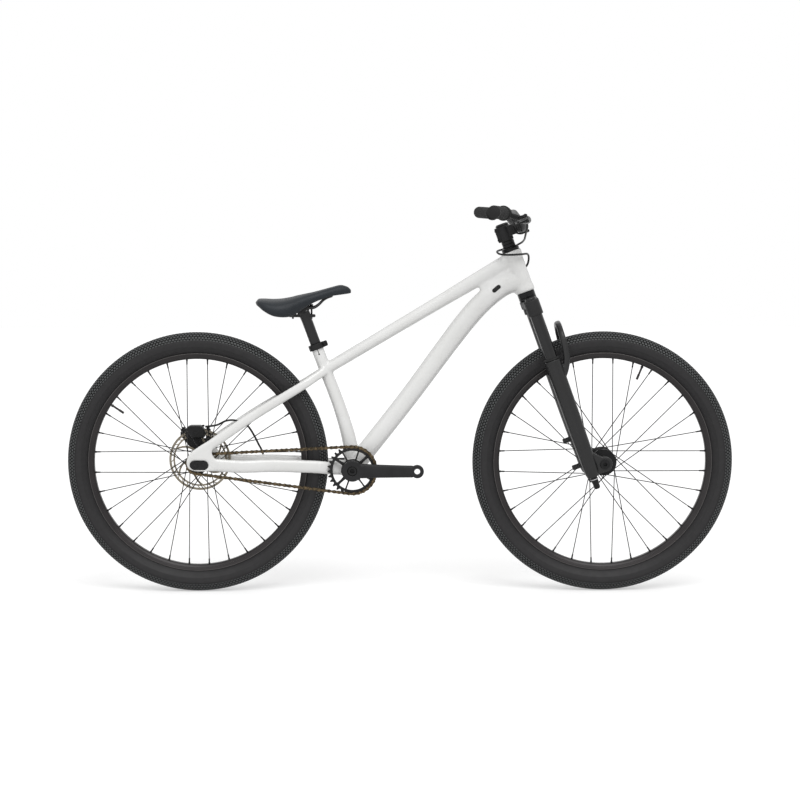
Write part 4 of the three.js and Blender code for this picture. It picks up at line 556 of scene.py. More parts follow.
def knobs(lean, shift, long, wide):
    """A row of tapered blocks round the tread. Each stands out from the casing's section circle at
    the angle lean off the tyre's middle, and the row is turned by shift of a step."""
    ends = [(-1, -1), (1, -1), (1, 1), (-1, 1)]
    corners = [(t * long * grow, w * wide * grow, h)
               for h, grow in ((KNOB_FOOT, 1.2), (KNOB_TOP, 1.0)) for t, w in ends]
    t, w, h = np.array(corners).T
    lean = math.radians(lean)
    radius = SECTION_CENTRE + h * math.cos(lean) - w * math.sin(lean)
    out = h * math.sin(lean) + w * math.cos(lean)
    angle = (np.arange(KNOB_COUNT)[:, None] + shift) * 2 * math.pi / KNOB_COUNT
    points = np.stack([radius * np.cos(angle) - t * np.sin(angle), np.broadcast_to(out, (KNOB_COUNT, 8)),
                       radius * np.sin(angle) + t * np.cos(angle)], -1)
    quads = [(0, 3, 2, 1), (4, 5, 6, 7), (0, 1, 5, 4), (1, 2, 6, 5), (2, 3, 7, 6), (3, 0, 4, 7)]
    return copies(points, [np.array(quads)])


def tyre_shapes():
    """The casing, a profile turned about the axle, and its rows of knobs."""
    tread = np.radians(np.linspace(72, -72, 17))
    crown = np.column_stack([SECTION_CENTRE + KNOB_FOOT * np.cos(tread), KNOB_FOOT * np.sin(tread)])
    side = np.array(TYRE_SIDE)
    inside = np.array(TYRE_INSIDE)
    profile = np.vstack([side, crown, side[::-1] * [1, -1], inside[::-1] * [1, -1], inside])
    shapes = [turned(profile, sides=TYRE_SIDES, joined=True)]
    for lean, shift, long, wide in KNOB_ROWS:
        shapes += [knobs(turn * lean, shift, long, wide) for turn in ({1, -1} if lean else {1})]
    return shapes


def from_axle(where, axle):
    """How far a place is from a wheel's axle line, in metres, and how far from the wheel's middle."""
    x, y, z = where.parts()
    radius = ((x - axle[0] * MM).power(2.0) + (z - axle[2] * MM).power(2.0)).power(0.5)
    return radius, y


def tyre_rubber(name, axle):
    """The finish of one wheel's tyre."""
    def colour(where):
        """Dark grey sidewalls, painted shade near black between the knobs, and grey on the knobs' tops for
        wear and a painted highlight.
        """
        radius, y = from_axle(where, axle)
        depth = ((radius - SECTION_CENTRE * MM).power(2.0) + y.power(2.0)).power(0.5)
        worn = where.mottle(0.012, 4.0).between(0.3, 0.75)
        # Painted shade near black below the knobs' tops; on the tops, grey for wear and a painted highlight.
        top = depth.between(*KNOB_SHADE_TO_WORN_HIGHLIGHT)
        tread = top.colours((0.003, 0.003, 0.003), (0.058, 0.061, 0.062))
        bulge = worn.colours((0.006, 0.0055, 0.0062), (0.0095, 0.0088, 0.0098))
        return radius.between(*TREAD_START).colours(bulge, tread)

    def relief(where):
        """Grain of the mould, and a fine rib below each shoulder."""
        radius, _ = from_axle(where, axle)
        rib = 1.0 - abs(radius - RIB_RADIUS).between(*RIB_HALF)
        return where.mottle(0.0016, 4.0) * 0.6 + rib * 1.4

    return finish(name, colour, uneven(0.02, 0.14, 0.52), relief, 0.0002, Specular_IOR_Level=0.42)


def built(name, shapes, place, material, body, nodes, sharp=SHARP):
    """Shows shapes as one piece, moved to a place."""
    return shown(name, mesh_of(name, at_place(shapes, place)), material, body, nodes, sharp)


for end, axle in (("front", FRONT_AXLE), ("rear", REAR_AXLE)):
    rubber = tyre_rubber(end + "_tyre_rubber", axle)
    built(end + "_tyre_knobbed", tyre_shapes(), axle, rubber, end + "_wheel", [end + "_tyre"], 30)

# Rims. Hollow aluminium hoops, rolled, joined and anodised satin black, with a lighter line where
# the bead sits. The tube's valve stands through each, with its ring nut and screwed cap.
RIM_PROFILE = [(266, -5.6), (266.3, -7.4), (267.6, -9.2), (270.4, -11.2), (274.6, -13.1), (278.6, -14.5),
               (280.4, -14.9), (281, -14.5), (281, -13.4), (280.6, -13), (273.2, -13)]
VALVE_PROFILE = [(0, 2.4), (0.02, 3.1), (0.36, 3.1), (0.38, 2.3), (0.42, 2.6), (0.8, 2.6), (0.82, 3.9),
                 (0.9, 3.9), (0.92, 2.6), (1, 2.6)]
VALVE_FOOT, VALVE_TIP = 268, 228
# The lighter line at the bead starts and ends in these two steps, in metres.
BEAD_INNER = (0.2794, 0.2800)
BEAD_OUTER = (0.2806, 0.2812)


def rods(starts, ends, profile, sides=8):
    """Straight round rods between pairs of places. The profile's rows are a share of the length and
    the radius there, or it is one radius, and a flat face closes each end."""
    if np.isscalar(profile):
        profile = [(0, profile), (1, profile)]
    starts, ends = np.atleast_2d(starts).astype(float), np.atleast_2d(ends).astype(float)
    ahead = ends - starts
    length = np.linalg.norm(ahead, axis=1)[:, None]
    steep = np.abs(ahead[:, 1:2]) > 0.9 * length
    right = np.cross(ahead, np.where(steep, [1.0, 0.0, 0.0], SIDEWAYS))
    right /= np.linalg.norm(right, axis=1)[:, None]
    up = np.cross(right, ahead / length)
    share, radius = np.asarray(profile, float).T
    angle = np.arange(sides) * 2 * math.pi / sides
    ring = np.cos(angle)[:, None] * right[:, None, None] + np.sin(angle)[:, None] * up[:, None, None]
    middles = starts[:, None, None] + share[:, None, None] * ahead[:, None, None]
    rings = middles + radius[:, None, None] * ring
    _, faces = skin(rings[0])
    return copies(rings.reshape(len(starts), -1, 3), faces)


def round_way(turn):
    """The way from the axle at a share of a full turn, from straight up towards the front."""
    angle = 2 * math.pi * turn
    return np.array([math.sin(angle), 0, math.cos(angle)])


def anodised(name, axle):
    """The finish of one wheel's rim."""
    def colour(where):
        """Near black with a faint brown cast, and a lighter line along the bead edge."""
        radius, _ = from_axle(where, axle)
        cast = where.mottle(0.05).between(0.3, 0.7).colours((0.010, 0.008, 0.0085), (0.016, 0.013, 0.0135))
        line = radius.between(*BEAD_INNER) * (1.0 - radius.between(*BEAD_OUTER))
        return (line * 0.55).colours(cast, (0.16, 0.15, 0.145))

    return finish(name, colour, uneven(0.01, 0.12, 0.3), grain(0.0012), 0.00005, Metallic=0.35)


for end, axle, valve_turn in (("front", FRONT_AXLE, 1 / 16), ("rear", REAR_AXLE, -5 / 32)):
    profile = RIM_PROFILE + [(r, -y) for r, y in RIM_PROFILE[::-1]]
    way = round_way(valve_turn)
    rim_shapes = [turned(profile, sides=160, joined=True),
                  rods(VALVE_TIP * way, VALVE_FOOT * way, VALVE_PROFILE, 16)]
    built(end + "_rim_hoop", rim_shapes, axle, anodised(end + "_black_anodised_rim", axle), end + "_wheel",
          [end + "_rim", end + "_valve"], 40)

# Hubs and spokes. Turned black hub shells with two drilled flanges. Each wheel is laced three cross
# with 32 black steel spokes, bent over at the flange and drawn up by a slim nut in the rim.
SPOKE_COUNT = 32
SPOKE_RADIUS = 1.15
SPOKE_ROW = 1.25
SPOKE_END_RADIUS = 266.4
HOLE_INSET = 3.2
HEAD_REACH = 3.6
NIPPLE_LENGTH = 14
NIPPLE_PROFILE = [(0, 1.5), (0.1, 1.9), (0.72, 2.0), (0.76, 2.5), (1, 2.5)]
FRONT_HUB = [(10.3, -54.7), (16, -54.7), (16.6, -54), (16.6, -44), (15.4, -42), (15.4, -31), (17, -30.6),
             (33.2, -30.5), (34, -29.8), (34, -26.2), (33.2, -25.5), (25, -24.6), (20, -21), (17.6, -14),
             (17, 0)]
REAR_HUB = [(5.4, -32), (20, -32), (20, -24.5), (28.2, -24.5), (29, -23.7), (29, -20.3), (28.2, -19.5),
            (22, -18.6), (18, -15), (16.4, -8), (16.4, 18), (18, 24), (22, 28), (28.2, 29.5), (29, 30.2),
            (29, 33.8), (28.2, 34.5), (24, 34.6), (24, 50), (16.5, 50), (16.5, 53), (9.5, 53), (9.5, 67.2),
            (5.4, 67.2)]


def laced(flange_radius, drive_flange, far_flange):
    """Spokes, nipples and heads. Spoke k meets the rim at the share (k + 0.5) / 32 of a turn, and its
    flange three crossings earlier or later; every other one is on the far flange."""
    k = np.arange(SPOKE_COUNT)
    far = k % 2 == 1
    leads = k // 2 % 2 == 1
    rim_turn = (k + 0.5) / SPOKE_COUNT
    hub_turn = rim_turn + np.where(leads, -3, 3) / (SPOKE_COUNT / 2)
    side = np.where(far, 1, -1)
    flange = np.where(far, far_flange, drive_flange)
    row = np.where(leads, SPOKE_ROW, -SPOKE_ROW)
    seat = np.where(leads, 4.2, 1.2)

    def place(radius, turn, y):
        return np.column_stack([radius * np.cos(2 * math.pi * turn), y, radius * np.sin(2 * math.pi * turn)])

    holes = flange_radius - HOLE_INSET
    inner = place(holes, hub_turn, side * (flange + row))
    outer = place(SPOKE_END_RADIUS, rim_turn, side * seat)
    way = (outer - inner) / np.linalg.norm(outer - inner, axis=1)[:, None]
    outside = place(holes, hub_turn, side * (flange + HEAD_REACH * np.sign(row)))
    return [rods(inner, outer, SPOKE_RADIUS, 8),
            rods(outer - NIPPLE_LENGTH * way, outer, NIPPLE_PROFILE, 8),
            rods(place(holes, hub_turn, side * flange), outside, [(0, 1.9), (0.85, 1.9), (1, 1.2)], 8)]


def clouded(size, low, high, detail=3.0, bounds=(0.3, 0.7)):
    """A colour that drifts from low to high in soft patches about as wide as size."""
    return lambda where: where.mottle(size, detail).between(*bounds).colours(low, high)


black_shell = finish("black_anodised_hub", clouded(0.02, (0.007, 0.007, 0.0075), (0.011, 0.011, 0.0115)),
                     uneven(0.006, 0.12, 0.3), grain(0.0008, 2.0, (1, 12, 1)), 0.00004,
                     Metallic=0.5, Specular_IOR_Level=0.3)
front_profile = FRONT_HUB + [(r, -y) for r, y in FRONT_HUB[-2::-1]]
for end, axle, profile, spoke_ends in (("front", FRONT_AXLE, front_profile, (34, 28, 28)),
                                       ("rear", REAR_AXLE, REAR_HUB, (29, 22, 32))):
    hub_shapes = [turned(profile, sides=48, joined=True), *laced(*spoke_ends)]
    built(end + "_hub_spoked", hub_shapes, axle, black_shell, end + "_wheel", [end + "_hub"],
          35)

# Disc rotor. A stamped steel disc, ground flat and tinted gold by its hardening: an outer and an inner
# track joined by short ribs, six swept arms and a bolting ring held to the hub by six screws.
ROTOR_MIDDLE = 51.2
ROTOR_HALF = 0.9
ROTOR_TRACKS = [(74.2, 80), (65, 69.4)]


def band(inner, outer, low, high, sides=144):
    """A flat ring about the Y axis, square in section with its four edges broken."""
    edge = min(0.4, (high - low) / 4)
    return turned([(inner + edge, low), (outer - edge, low), (outer, low + edge), (outer, high - edge),
                   (outer - edge, high), (inner + edge, high), (inner, high - edge), (inner, low + edge)],
                  sides=sides, joined=True)


def flat_bar(path, half_height, low, high, sides=8):
    """A flat bar along a path in X and Z, between two heights in Y, with nearly square edges."""
    path = np.asarray(path, float)
    centres = np.column_stack([path[:, 0], np.full(len(path), (low + high) / 2), path[:, 1]])
    return tube(centres, (high - low) / 2, half_height, sides, 5)


def polar(radius, angle):
    """Places in X and Z at a radius and an angle from the X axis."""
    radius, angle = np.broadcast_arrays(np.asarray(radius, float), np.asarray(angle, float))
    return np.stack([radius * np.cos(angle), radius * np.sin(angle)], -1)


BOLT_RING = (16.9, 26)
BOLT_CIRCLE, BOLT_LATER, BOLT_PROUD = 21.8, 0.15, 2.2
ARM_COUNT, RIB_COUNT = 6, 30
ARM_FOOT, ARM_LENGTH, ARM_SWEEP, ARM_CURVE = 25, 42, 0.62, 1.3
RIB_SPAN, RIB_SWEEP = [68.6, 75], 0.09
ROTOR_SCREW = [(0, 3.4), (0.7, 3.4), (1, 2.6)]
rotor_low, rotor_high = ROTOR_MIDDLE - ROTOR_HALF, ROTOR_MIDDLE + ROTOR_HALF
rotor_shapes = [band(inner, outer, rotor_low, rotor_high) for inner, outer in ROTOR_TRACKS]
rotor_shapes.append(band(*BOLT_RING, rotor_low, rotor_high, 72))
sweep = np.linspace(0, 1, 9)
for arm in range(ARM_COUNT):
    start = 2 * math.pi * arm / ARM_COUNT
    path = polar(ARM_FOOT + ARM_LENGTH * sweep, start + ARM_SWEEP * sweep ** ARM_CURVE)
    rotor_shapes.append(flat_bar(path, 3.1 - 0.8 * sweep, rotor_low, rotor_high))
    seat = np.append(polar(BOLT_CIRCLE, start + BOLT_LATER), 0)[[0, 2, 1]] + [0, rotor_high, 0]
    rotor_shapes.append(rods(seat, seat + [0, BOLT_PROUD, 0], ROTOR_SCREW, 12))
for rib in range(RIB_COUNT):
    angle = 2 * math.pi * rib / RIB_COUNT
    path = polar(RIB_SPAN, [angle, angle + RIB_SWEEP])
    rotor_shapes.append(flat_bar(path, 1.3, rotor_low, rotor_high, 4))
tinted_steel = finish("gold_tinted_steel", clouded(0.02, (0.19, 0.165, 0.125), (0.28, 0.25, 0.20)),
                      uneven(0.004, 0.2, 0.25, 4.0), grain(0.0006, 2.0), 0.00004, Metallic=0.85)
built("brake_rotor_disc", rotor_shapes, REAR_AXLE, tinted_steel, "rear_wheel", ["brake_rotor"],
      30)

# Rear axle. A bolted axle: its ends sit in alloy blocks that slide in the dropouts' slots to tension
# the chain, each with a dark bolt head sunk in it.
BLOCK_HALF = 12.35
BLOCK_ROUND = 10.7
BLOCK_INNER, BLOCK_FACE = 68.2, 74.4
SCREW_AHEAD = 17.5
HEAD_LOOP = [(3.4, -0.5), (3.4, 0.4), (4.2, 1.6), (6.6, 1.6), (7.2, 1.0), (7.2, -0.5)]


def slot_outline(half, radius, middle, sides=48):
    """A slot: a circle whose right half is moved ahead and left half back by half its straight."""
    angle = np.arange(sides) * 2 * math.pi / sides
    move = np.where(np.cos(angle) > 0, half, -half)
    return np.column_stack([middle + move + radius * np.cos(angle), radius * np.sin(angle)])


def prism(outline, low, high, edge=0.0):
    """A closed outline in X and Z pushed along Y, its two rims drawn in by edge."""
    centre = outline.mean(0)
    shrunk = centre + (outline - centre) * (1 - edge / np.linalg.norm(outline - centre, axis=1)[:, None])
    rows = [(shrunk, low), (outline, low + edge), (outline, high - edge), (shrunk, high)]
    return levels(rows if edge else rows[1:3])


axle_shapes = [turned(straight(4.9, -78, 78), sides=32),
               turned([(4.9, -68.8), (9.5, -68.8), (9.5, -60.3), (4.9, -60.3)], sides=32, joined=True)]
for side in (1, -1):
    near, far = sorted([side * BLOCK_INNER, side * BLOCK_FACE])
    face = BLOCK_FACE * side
    axle_shapes += [
        prism(slot_outline(BLOCK_HALF, BLOCK_ROUND, SLOT_MIDDLE), near, far, 0.5),
        turned([(radius, face + rise * side) for radius, rise in HEAD_LOOP], sides=32, joined=True),
        rods([SCREW_AHEAD, face - side, 0], [SCREW_AHEAD, face + 0.9 * side, 0],
             [(0, 3.4), (0.8, 3.4), (1, 2.8)], 12)]
satin_alloy = finish("satin_black_alloy", clouded(0.03, (0.0085, 0.0085, 0.00875), (0.013, 0.013, 0.0135)),
                     uneven(0.008, 0.15, 0.34), grain(0.001), 0.00005, Metallic=0.3, Specular_IOR_Level=0.3)
built("rear_axle_blocks", axle_shapes, REAR_AXLE, satin_alloy, "frame", ["rear_axle"], 30)

# Chain and sprockets. A bronze-tinted steel roller chain of 84 half links runs over a machined
# 30-tooth alloy ring and a 12-tooth steel cog. Outer plates stand outside inner ones, pins riveted.
PITCH = 12.7
RING_TEETH = 30
COG_TEETH = 12
CHAINLINE = -50
RING_RADIUS = PITCH / 2 / math.sin(math.pi / RING_TEETH)
COG_RADIUS = PITCH / 2 / math.sin(math.pi / COG_TEETH)
RING_HOLE, COG_HOLE = 51, 14
PLATE_HALF = 1.4
ROOT_DEPTH = 4.2
TIP_THINNED = 0.45
LONG_TOOTH = 0.3
TOOTH_TABLE = [(0.5, -3.75), (0.42, -3.5), (0.345, -2.95), (0.28, -2.0), (0.235, -0.6), (0.2, 0.7),
               (0.15, 2.1), (0.09, 3.2)]
ROLLER_RADIUS, ROLLER_HALF = 3.35, 1.75
PIN_RADIUS, PIN_HALF = 1.55, 4.35
# Each kind of link's first pin, its plates' two faces, their half height in the middle and at a pin.
LINK_PLATES = [(0, 1.75, 2.75, 3.2, 4.4), (1, 2.85, 3.85, 2.3, 4.3)]
ORIGIN = (0, 0, 0)


def chain_run():
    """Where the pins stand, at even steps round both sprockets and the straight runs between them,
    and the angle at which each sprocket has a pin."""
    line = BOTTOM_BRACKET - REAR_AXLE
    span = math.hypot(line[0], line[2])
    lean = math.asin((RING_RADIUS - COG_RADIUS) / span)
    run = span * math.cos(lean)
    ring_wrap = RING_RADIUS * (math.pi + 2 * lean)
    cog_wrap = COG_RADIUS * (math.pi - 2 * lean)
    total = 2 * run + ring_wrap + cog_wrap
    count = 2 * round(total / PITCH / 2)
    step = total / count
    top = math.atan2(line[2], line[0]) + math.pi / 2 + lean
    low = top - math.pi - 2 * lean
    ring_centre, cog_centre = BOTTOM_BRACKET[[0, 2]], REAR_AXLE[[0, 2]]
    along = np.arange(count) * step
    past_ring, past_low = along - ring_wrap, along - ring_wrap - run
    past_cog = past_low - cog_wrap
    on_ring = ring_centre + polar(RING_RADIUS, top - along / RING_RADIUS)
    on_low = ring_centre + polar(RING_RADIUS, low) + np.outer(past_ring, polar(1, low - math.pi / 2))
    on_cog = cog_centre + polar(COG_RADIUS, low - past_low / COG_RADIUS)
    on_top = cog_centre + polar(COG_RADIUS, top) + np.outer(past_cog, polar(1, top - math.pi / 2))
    pins = np.where(past_ring[:, None] < 0, on_ring, np.where(past_low[:, None] < 0, on_low, np.where(
        past_cog[:, None] < 0, on_cog, on_top)))
    first = math.ceil((ring_wrap + run) / step) * step - ring_wrap - run
    return pins, top, low - first / COG_RADIUS


def toothed(teeth, radius, turn):
    """A sprocket outline: over each step its height above the pin circle follows the tooth table,
    from the roller's seat up one flank, over the tip and down the other. Every other tip is longer."""
    table = TOOTH_TABLE + [(-share, rise) for share, rise in TOOTH_TABLE[:0:-1]]
    share, rise = np.array(table).T
    middle = turn + (np.arange(teeth)[:, None] + 0.5) * 2 * math.pi / teeth
    longer = (np.arange(teeth)[:, None] % 2 == 0) & (rise > 2)
    tall = rise + np.where(longer, LONG_TOOTH, 0)
    return polar(radius + tall, middle - share * 2 * math.pi / teeth).reshape(-1, 2)


def sprocket(teeth, radius, turn, hole, low, high):
    """A toothed plate with its teeth thinned to a narrower tip, and a round hole."""
    outline = toothed(teeth, radius, turn)
    angle = np.arctan2(outline[:, 1], outline[:, 0])
    inside = polar(hole, angle)
    root = outline * np.minimum(1, (radius - ROOT_DEPTH) / np.linalg.norm(outline, axis=1))[:, None]
    return levels([(inside, low), (root, low), (outline, low + TIP_THINNED), (outline, high - TIP_THINNED),
                   (root, high), (inside, high)], joined=True)


def side_plates(starts, ends, waist, half, low, high):
    """Chain plates: an eight-shaped outline from one pin to the next, whose half height is half round
    each pin and waist in the middle."""
    reach = np.linalg.norm(ends - starts, axis=1)[:, None] / 2
    angle = (np.arange(12) + 0.5) * math.pi / 6
    outer = np.column_stack([np.cos(angle) * half, np.sin(angle) * half])
    side = np.sign(outer[:, :1])
    outline = np.vstack([outer[:3], [(0, waist)], outer[3:9], [(0, -waist)], outer[9:]])
    side = np.concatenate([side[:3, 0], [0], side[3:9, 0], [0], side[9:, 0]])
    x = outline[:, 0] + side * reach
    z = np.broadcast_to(outline[:, 1], x.shape)
    ahead = (ends - starts) / (2 * reach)
    middle = (starts + ends) / 2
    aside = np.stack([-ahead[:, 1], ahead[:, 0]], -1)
    flat = middle[:, None] + x[..., None] * ahead[:, None] + z[..., None] * aside[:, None]
    rings = [np.stack([flat[..., 0], np.full(x.shape, y), flat[..., 1]], -1) for y in (low, high)]
    _, faces = skin(np.stack([rings[0][0], rings[1][0]]))
    return copies(np.concatenate(rings, 1), faces)


def pinned(places, low, high, radius, sides):
    """Round pieces across the chain, one at each place."""
    flat = np.column_stack([places[:, 0], np.full(len(places), low), places[:, 1]])
    return rods(flat, flat + [0, high - low, 0], radius, sides)


pins, ring_turn, cog_turn = chain_run()
following = np.roll(pins, -1, axis=0)
chain_shapes = [pinned(pins, CHAINLINE - ROLLER_HALF, CHAINLINE + ROLLER_HALF, ROLLER_RADIUS, 12),
                pinned(pins, CHAINLINE - PIN_HALF, CHAINLINE + PIN_HALF, PIN_RADIUS, 8)]
for side in (1, -1):
    for first, inner, outer, waist, half in LINK_PLATES:
        low, high = sorted([CHAINLINE + side * inner, CHAINLINE + side * outer])
        chain_shapes.append(side_plates(pins[first::2], following[first::2], waist, half, low, high))
bronze = finish("bronze_tinted_chain_steel",
                clouded(0.006, (0.028, 0.022, 0.014), (0.15, 0.11, 0.062), 4.0, (0.35, 0.7)),
                uneven(0.003, 0.2, 0.28), grain(0.0008), 0.00006, Metallic=0.85)
built("roller_chain", chain_shapes, ORIGIN, bronze, "frame", ["chain"], 30)

COG_BODY = [(5.4, -60), (13.4, -60), (14.2, -59.2), (14.2, -53), (15, -52.4), (15, -47.4), (14.2, -46.8),
            (14.2, -33), (15, -32.4), (5.4, -32.4)]
cog_low, cog_high = CHAINLINE - PLATE_HALF, CHAINLINE + PLATE_HALF
cog_shapes = [sprocket(COG_TEETH, COG_RADIUS, cog_turn, COG_HOLE, cog_low, cog_high),
              turned(COG_BODY, sides=48, joined=True)]
cog_steel = finish("dark_cog_steel", clouded(0.01, (0.035, 0.034, 0.033), (0.10, 0.097, 0.09)), 0.32,
                   grain(0.001), 0.00006, Metallic=0.9)
built("drive_cog_toothed", cog_shapes, REAR_AXLE, cog_steel, "rear_cog", ["drive_cog"], 30)

# Each arm's share of a turn and its half width, and its swell on the way out.
RING_ARMS = [(0.12, 3.6), (0.2, 2.0), (0.33, 2.0), (0.405, 3.6), (0.62, 3.6), (0.695, 2.0), (0.85, 2.0),
             (0.93, 3.6)]
ARM_PLACES = np.array([27.0, 36.0, 44.0, 52.0])
ARM_SWELL = np.array([1.3, 1.0, 0.95, 1.25])
ring_shapes = [sprocket(RING_TEETH, RING_RADIUS, ring_turn, RING_HOLE, cog_low, cog_high),
               band(50.4, 53.2, CHAINLINE - 1.9, CHAINLINE + 1.9), band(12.4, 29, cog_low, cog_high, 64)]
for share, half in RING_ARMS:
    path = polar(ARM_PLACES, share * 2 * math.pi)
    ring_shapes.append(flat_bar(path, half * ARM_SWELL, CHAINLINE - 1.8, CHAINLINE + PLATE_HALF))
built("chainring_machined", ring_shapes, BOTTOM_BRACKET, satin_alloy, "cranks", ["chainring"],
      30)

# Cranks and bottom bracket. Hollow forged alloy arms, anodised black and tapering from the boss to the
# pedal eye, are pressed on a steel spindle that turns in two screwed cups, and held by hollow bolts.
CRANK_LENGTH = 165
CRANK_TABLE = [(0, 0, 18.6), (0.1, 0.03, 18.8), (0.2, 0.08, 18.4), (0.35, 0.24, 17.4), (0.5, 0.45, 16.7),
               (0.75, 0.8, 15.8), (0.93, 0.97, 15.4)]
ARM_START, ARM_OUTWARDS = -65.5, 12
ARM_HALF = 6.4
EYE_HOLE, SPINDLE_HOLE = 7.4, 12.5
EYE_PLACE = (CRANK_LENGTH, 0, 0)
EYE_RING = [(7.3, -84), (16.4, -84), (17, -83.2), (17, -71.8), (16.4, -71), (7.3, -71)]
BOSS_RING = [(12.4, -72), (25.6, -72), (27, -70.4), (27, -58), (25, -55), (12.4, -55)]
BOLT_PROFILE = [(5.2, -63), (5.2, -71.2), (6, -72), (10.4, -72), (11, -71.4), (11, -68), (11.9, -67.9),
                (11.9, 67.9), (11, 68), (11, 71.4), (10.4, 72), (6, 72), (5.2, 71.2), (5.2, 63)]
CUP_PROFILE = [(12.6, 20.8), (16.9, 20.8), (16.9, 36.8), (21.5, 36.8), (21.5, 44.6), (20.4, 45.8),
               (12.6, 45.8)]
NOTCHES, NOTCH_CIRCLE, NOTCH_RADIUS = 16, 21.3, 1.1


def block(xs, ys, zs):
    """A plain box between three pairs of heights."""
    corners = [(xs[0], zs[0]), (xs[1], zs[0]), (xs[1], zs[1]), (xs[0], zs[1])]
    return skin(np.array([[(x, y, z) for x, z in corners] for y in ys], float))


def crank_arm_shapes():
    """A loft of rounded bars from the boss out to the eye, moved outwards on its way, with the eye
    and the boss as turned rings."""
    rows = eased(CRANK_TABLE, 30)
    inwards = ARM_START - rows[:, 1] * ARM_OUTWARDS
    centres = np.column_stack([rows[:, 0] * CRANK_LENGTH, inwards, np.zeros(30)])
    return [tube(centres, ARM_HALF, rows[:, 2], 40, 3.2),
            turned(EYE_RING, EYE_PLACE, sides=48, joined=True), turned(BOSS_RING, sides=64, joined=True)]


def filleted(name, shapes, holes, size, rounds, material, body, nodes):
    """Shows shapes run together into one skin as one piece, with the holes cut out of it."""
    mesh = run_together(name, shapes, size, rounds, holes)
    return shown(name, mesh, material, body, nodes, sharp=60)


forged_alloy = finish("forged_black_crank", clouded(0.04, (0.01, 0.01, 0.01075), (0.0155, 0.0155, 0.0165)),
                      uneven(0.01, 0.14, 0.36), grain(0.0009, 4.0), 0.00007,
                      Metallic=0.2, Specular_IOR_Level=0.3)
crank_holes = [turned(straight(EYE_HOLE, -90, -60), EYE_PLACE, sides=48),
               turned(straight(SPINDLE_HOLE, -90, -40), sides=48)]
for side, facing in SIDES[::-1]:
    turned_round = np.array([-facing, -facing, 1])
    solids, holes = ([(points * turned_round + BOTTOM_BRACKET, faces) for points, faces in shapes]
                     for shapes in (crank_arm_shapes(), crank_holes))
    filleted("crank_arm_" + side + "_forged", solids, holes, 1.1, 8, forged_alloy, "cranks",
             ["crank_arm_" + side])
spindle_steel = finish("grey_spindle_steel", clouded(0.004, (0.16, 0.16, 0.165), (0.24, 0.24, 0.25)), 0.3,
                       grain(0.0008), 0.00004, Metallic=0.7)
built("crank_spindle_bolts", [turned(BOLT_PROFILE, sides=48)], BOTTOM_BRACKET, satin_alloy, "cranks",
      ["crank_spindle"], 30)
notch_x, notch_z = polar(NOTCH_CIRCLE, 2 * math.pi * np.arange(NOTCHES) / NOTCHES).T
for side, facing in SIDES:
    cup = turned([(r, y * facing) for r, y in CUP_PROFILE], sides=48, joined=True)
    inner, outer = (np.column_stack([notch_x, np.full(NOTCHES, y * facing), notch_z]) for y in (38.4, 44.2))
    built("bottom_bracket_cup_" + side + "_turned", [cup, rods(inner, outer, NOTCH_RADIUS, 6)],
          BOTTOM_BRACKET, satin_alloy, "frame", ["bottom_bracket_cup_" + side], 30)

# Headset. Two turned alloy cups are pressed into the head tube and hold hidden bearings. A cover, two
# spacers and a domed cap with its bolt stand above them, all anodised black.
UPRIGHT = (0.0, 0.0, 1.0)


def ring_about(profile, sides=64):
    """A closed profile of (radius, height) turned about the steering axis, in steering axes."""
    return turned(profile, along=UPRIGHT, sides=sides, joined=True)


def softened(rows, edge=0.7):
    """A closed profile whose every corner is cut by edge, or by a third of its shorter side."""
    rows = np.asarray(rows, float)
    to_last = np.roll(rows, 1, axis=0) - rows
    to_next = np.roll(rows, -1, axis=0) - rows
    lengths = [np.linalg.norm(way, axis=1)[:, None] for way in (to_last, to_next)]
    cut = np.minimum(edge, np.minimum(*lengths) / 3)
    pair = [rows + way / length * cut for way, length in zip((to_last, to_next), lengths)]
    return np.stack(pair, 1).reshape(-1, 2)


def in_steering(shapes):
    """Shapes given in steering axes, set at the foot of the head tube."""
    return [placed(shape, HEAD_LOW) for shape in shapes]


def steering(name, shapes, material, body, nodes, sharp=35):
    """Shows shapes that are given in steering axes."""
    return shown(name, mesh_of(name, in_steering(shapes)), material, body, nodes, sharp)


black_turned = finish("black_turned_alloy", clouded(0.012, (0.007, 0.007, 0.0073), (0.011, 0.011, 0.0115)),
                      uneven(0.005, 0.12, 0.26), grain(0.0007, 2.0, (1, 1, 9)), 0.00003,
                      Metallic=0.4, Specular_IOR_Level=0.3)
HEADSET = [
    ("headset_lower_cup", "frame",
     [(17.3, -13.3), (22.5, -13.3), (22.5, -0.3), (18.7, -0.3), (18.7, 9), (17.3, 9)]),
    ("headset_upper_cup", "frame",
     [(17.3, 118.3), (22.5, 118.3), (22.5, 111.3), (18.7, 111.3), (18.7, 102), (17.3, 102)]),
    ("crown_race", "fork_upper", [(14.6, -20), (22.5, -20), (22.5, -13.6), (14.6, -13.6)]),
    ("headset_top_cover", "fork_upper",
     [(14.6, 118.6), (22.5, 118.6), (21.6, 120.6), (18, 122), (14.6, 122)]),
    ("headset_spacer_lower", "fork_upper", [(14.6, 122.3), (16.5, 122.3), (16.5, 130), (14.6, 130)]),
    ("headset_spacer_upper", "fork_upper", [(14.6, 130.3), (16.5, 130.3), (16.5, 138), (14.6, 138)]),
]
CAP_PROFILE = [(3.2, 178.9), (17.1, 178.9), (17.1, 181.4), (13.5, 184.4), (6.4, 184.4), (6.4, 182.4),
               (3.2, 182.4)]
CAP_BOLT = [(2.4, 178.9), (6.2, 178.9), (6.2, 184), (4.6, 184.6), (2.9, 184.6), (2.4, 181)]
for node_name, body, profile in HEADSET:
    steering(node_name + "_turned", [ring_about(softened(profile))], black_turned, body, [node_name])
steering("steerer_cap_domed",
         [ring_about(softened(CAP_PROFILE, 0.5)), ring_about(softened(CAP_BOLT, 0.3), 24)],
         black_turned, "fork_upper", ["steerer_top_cap"])

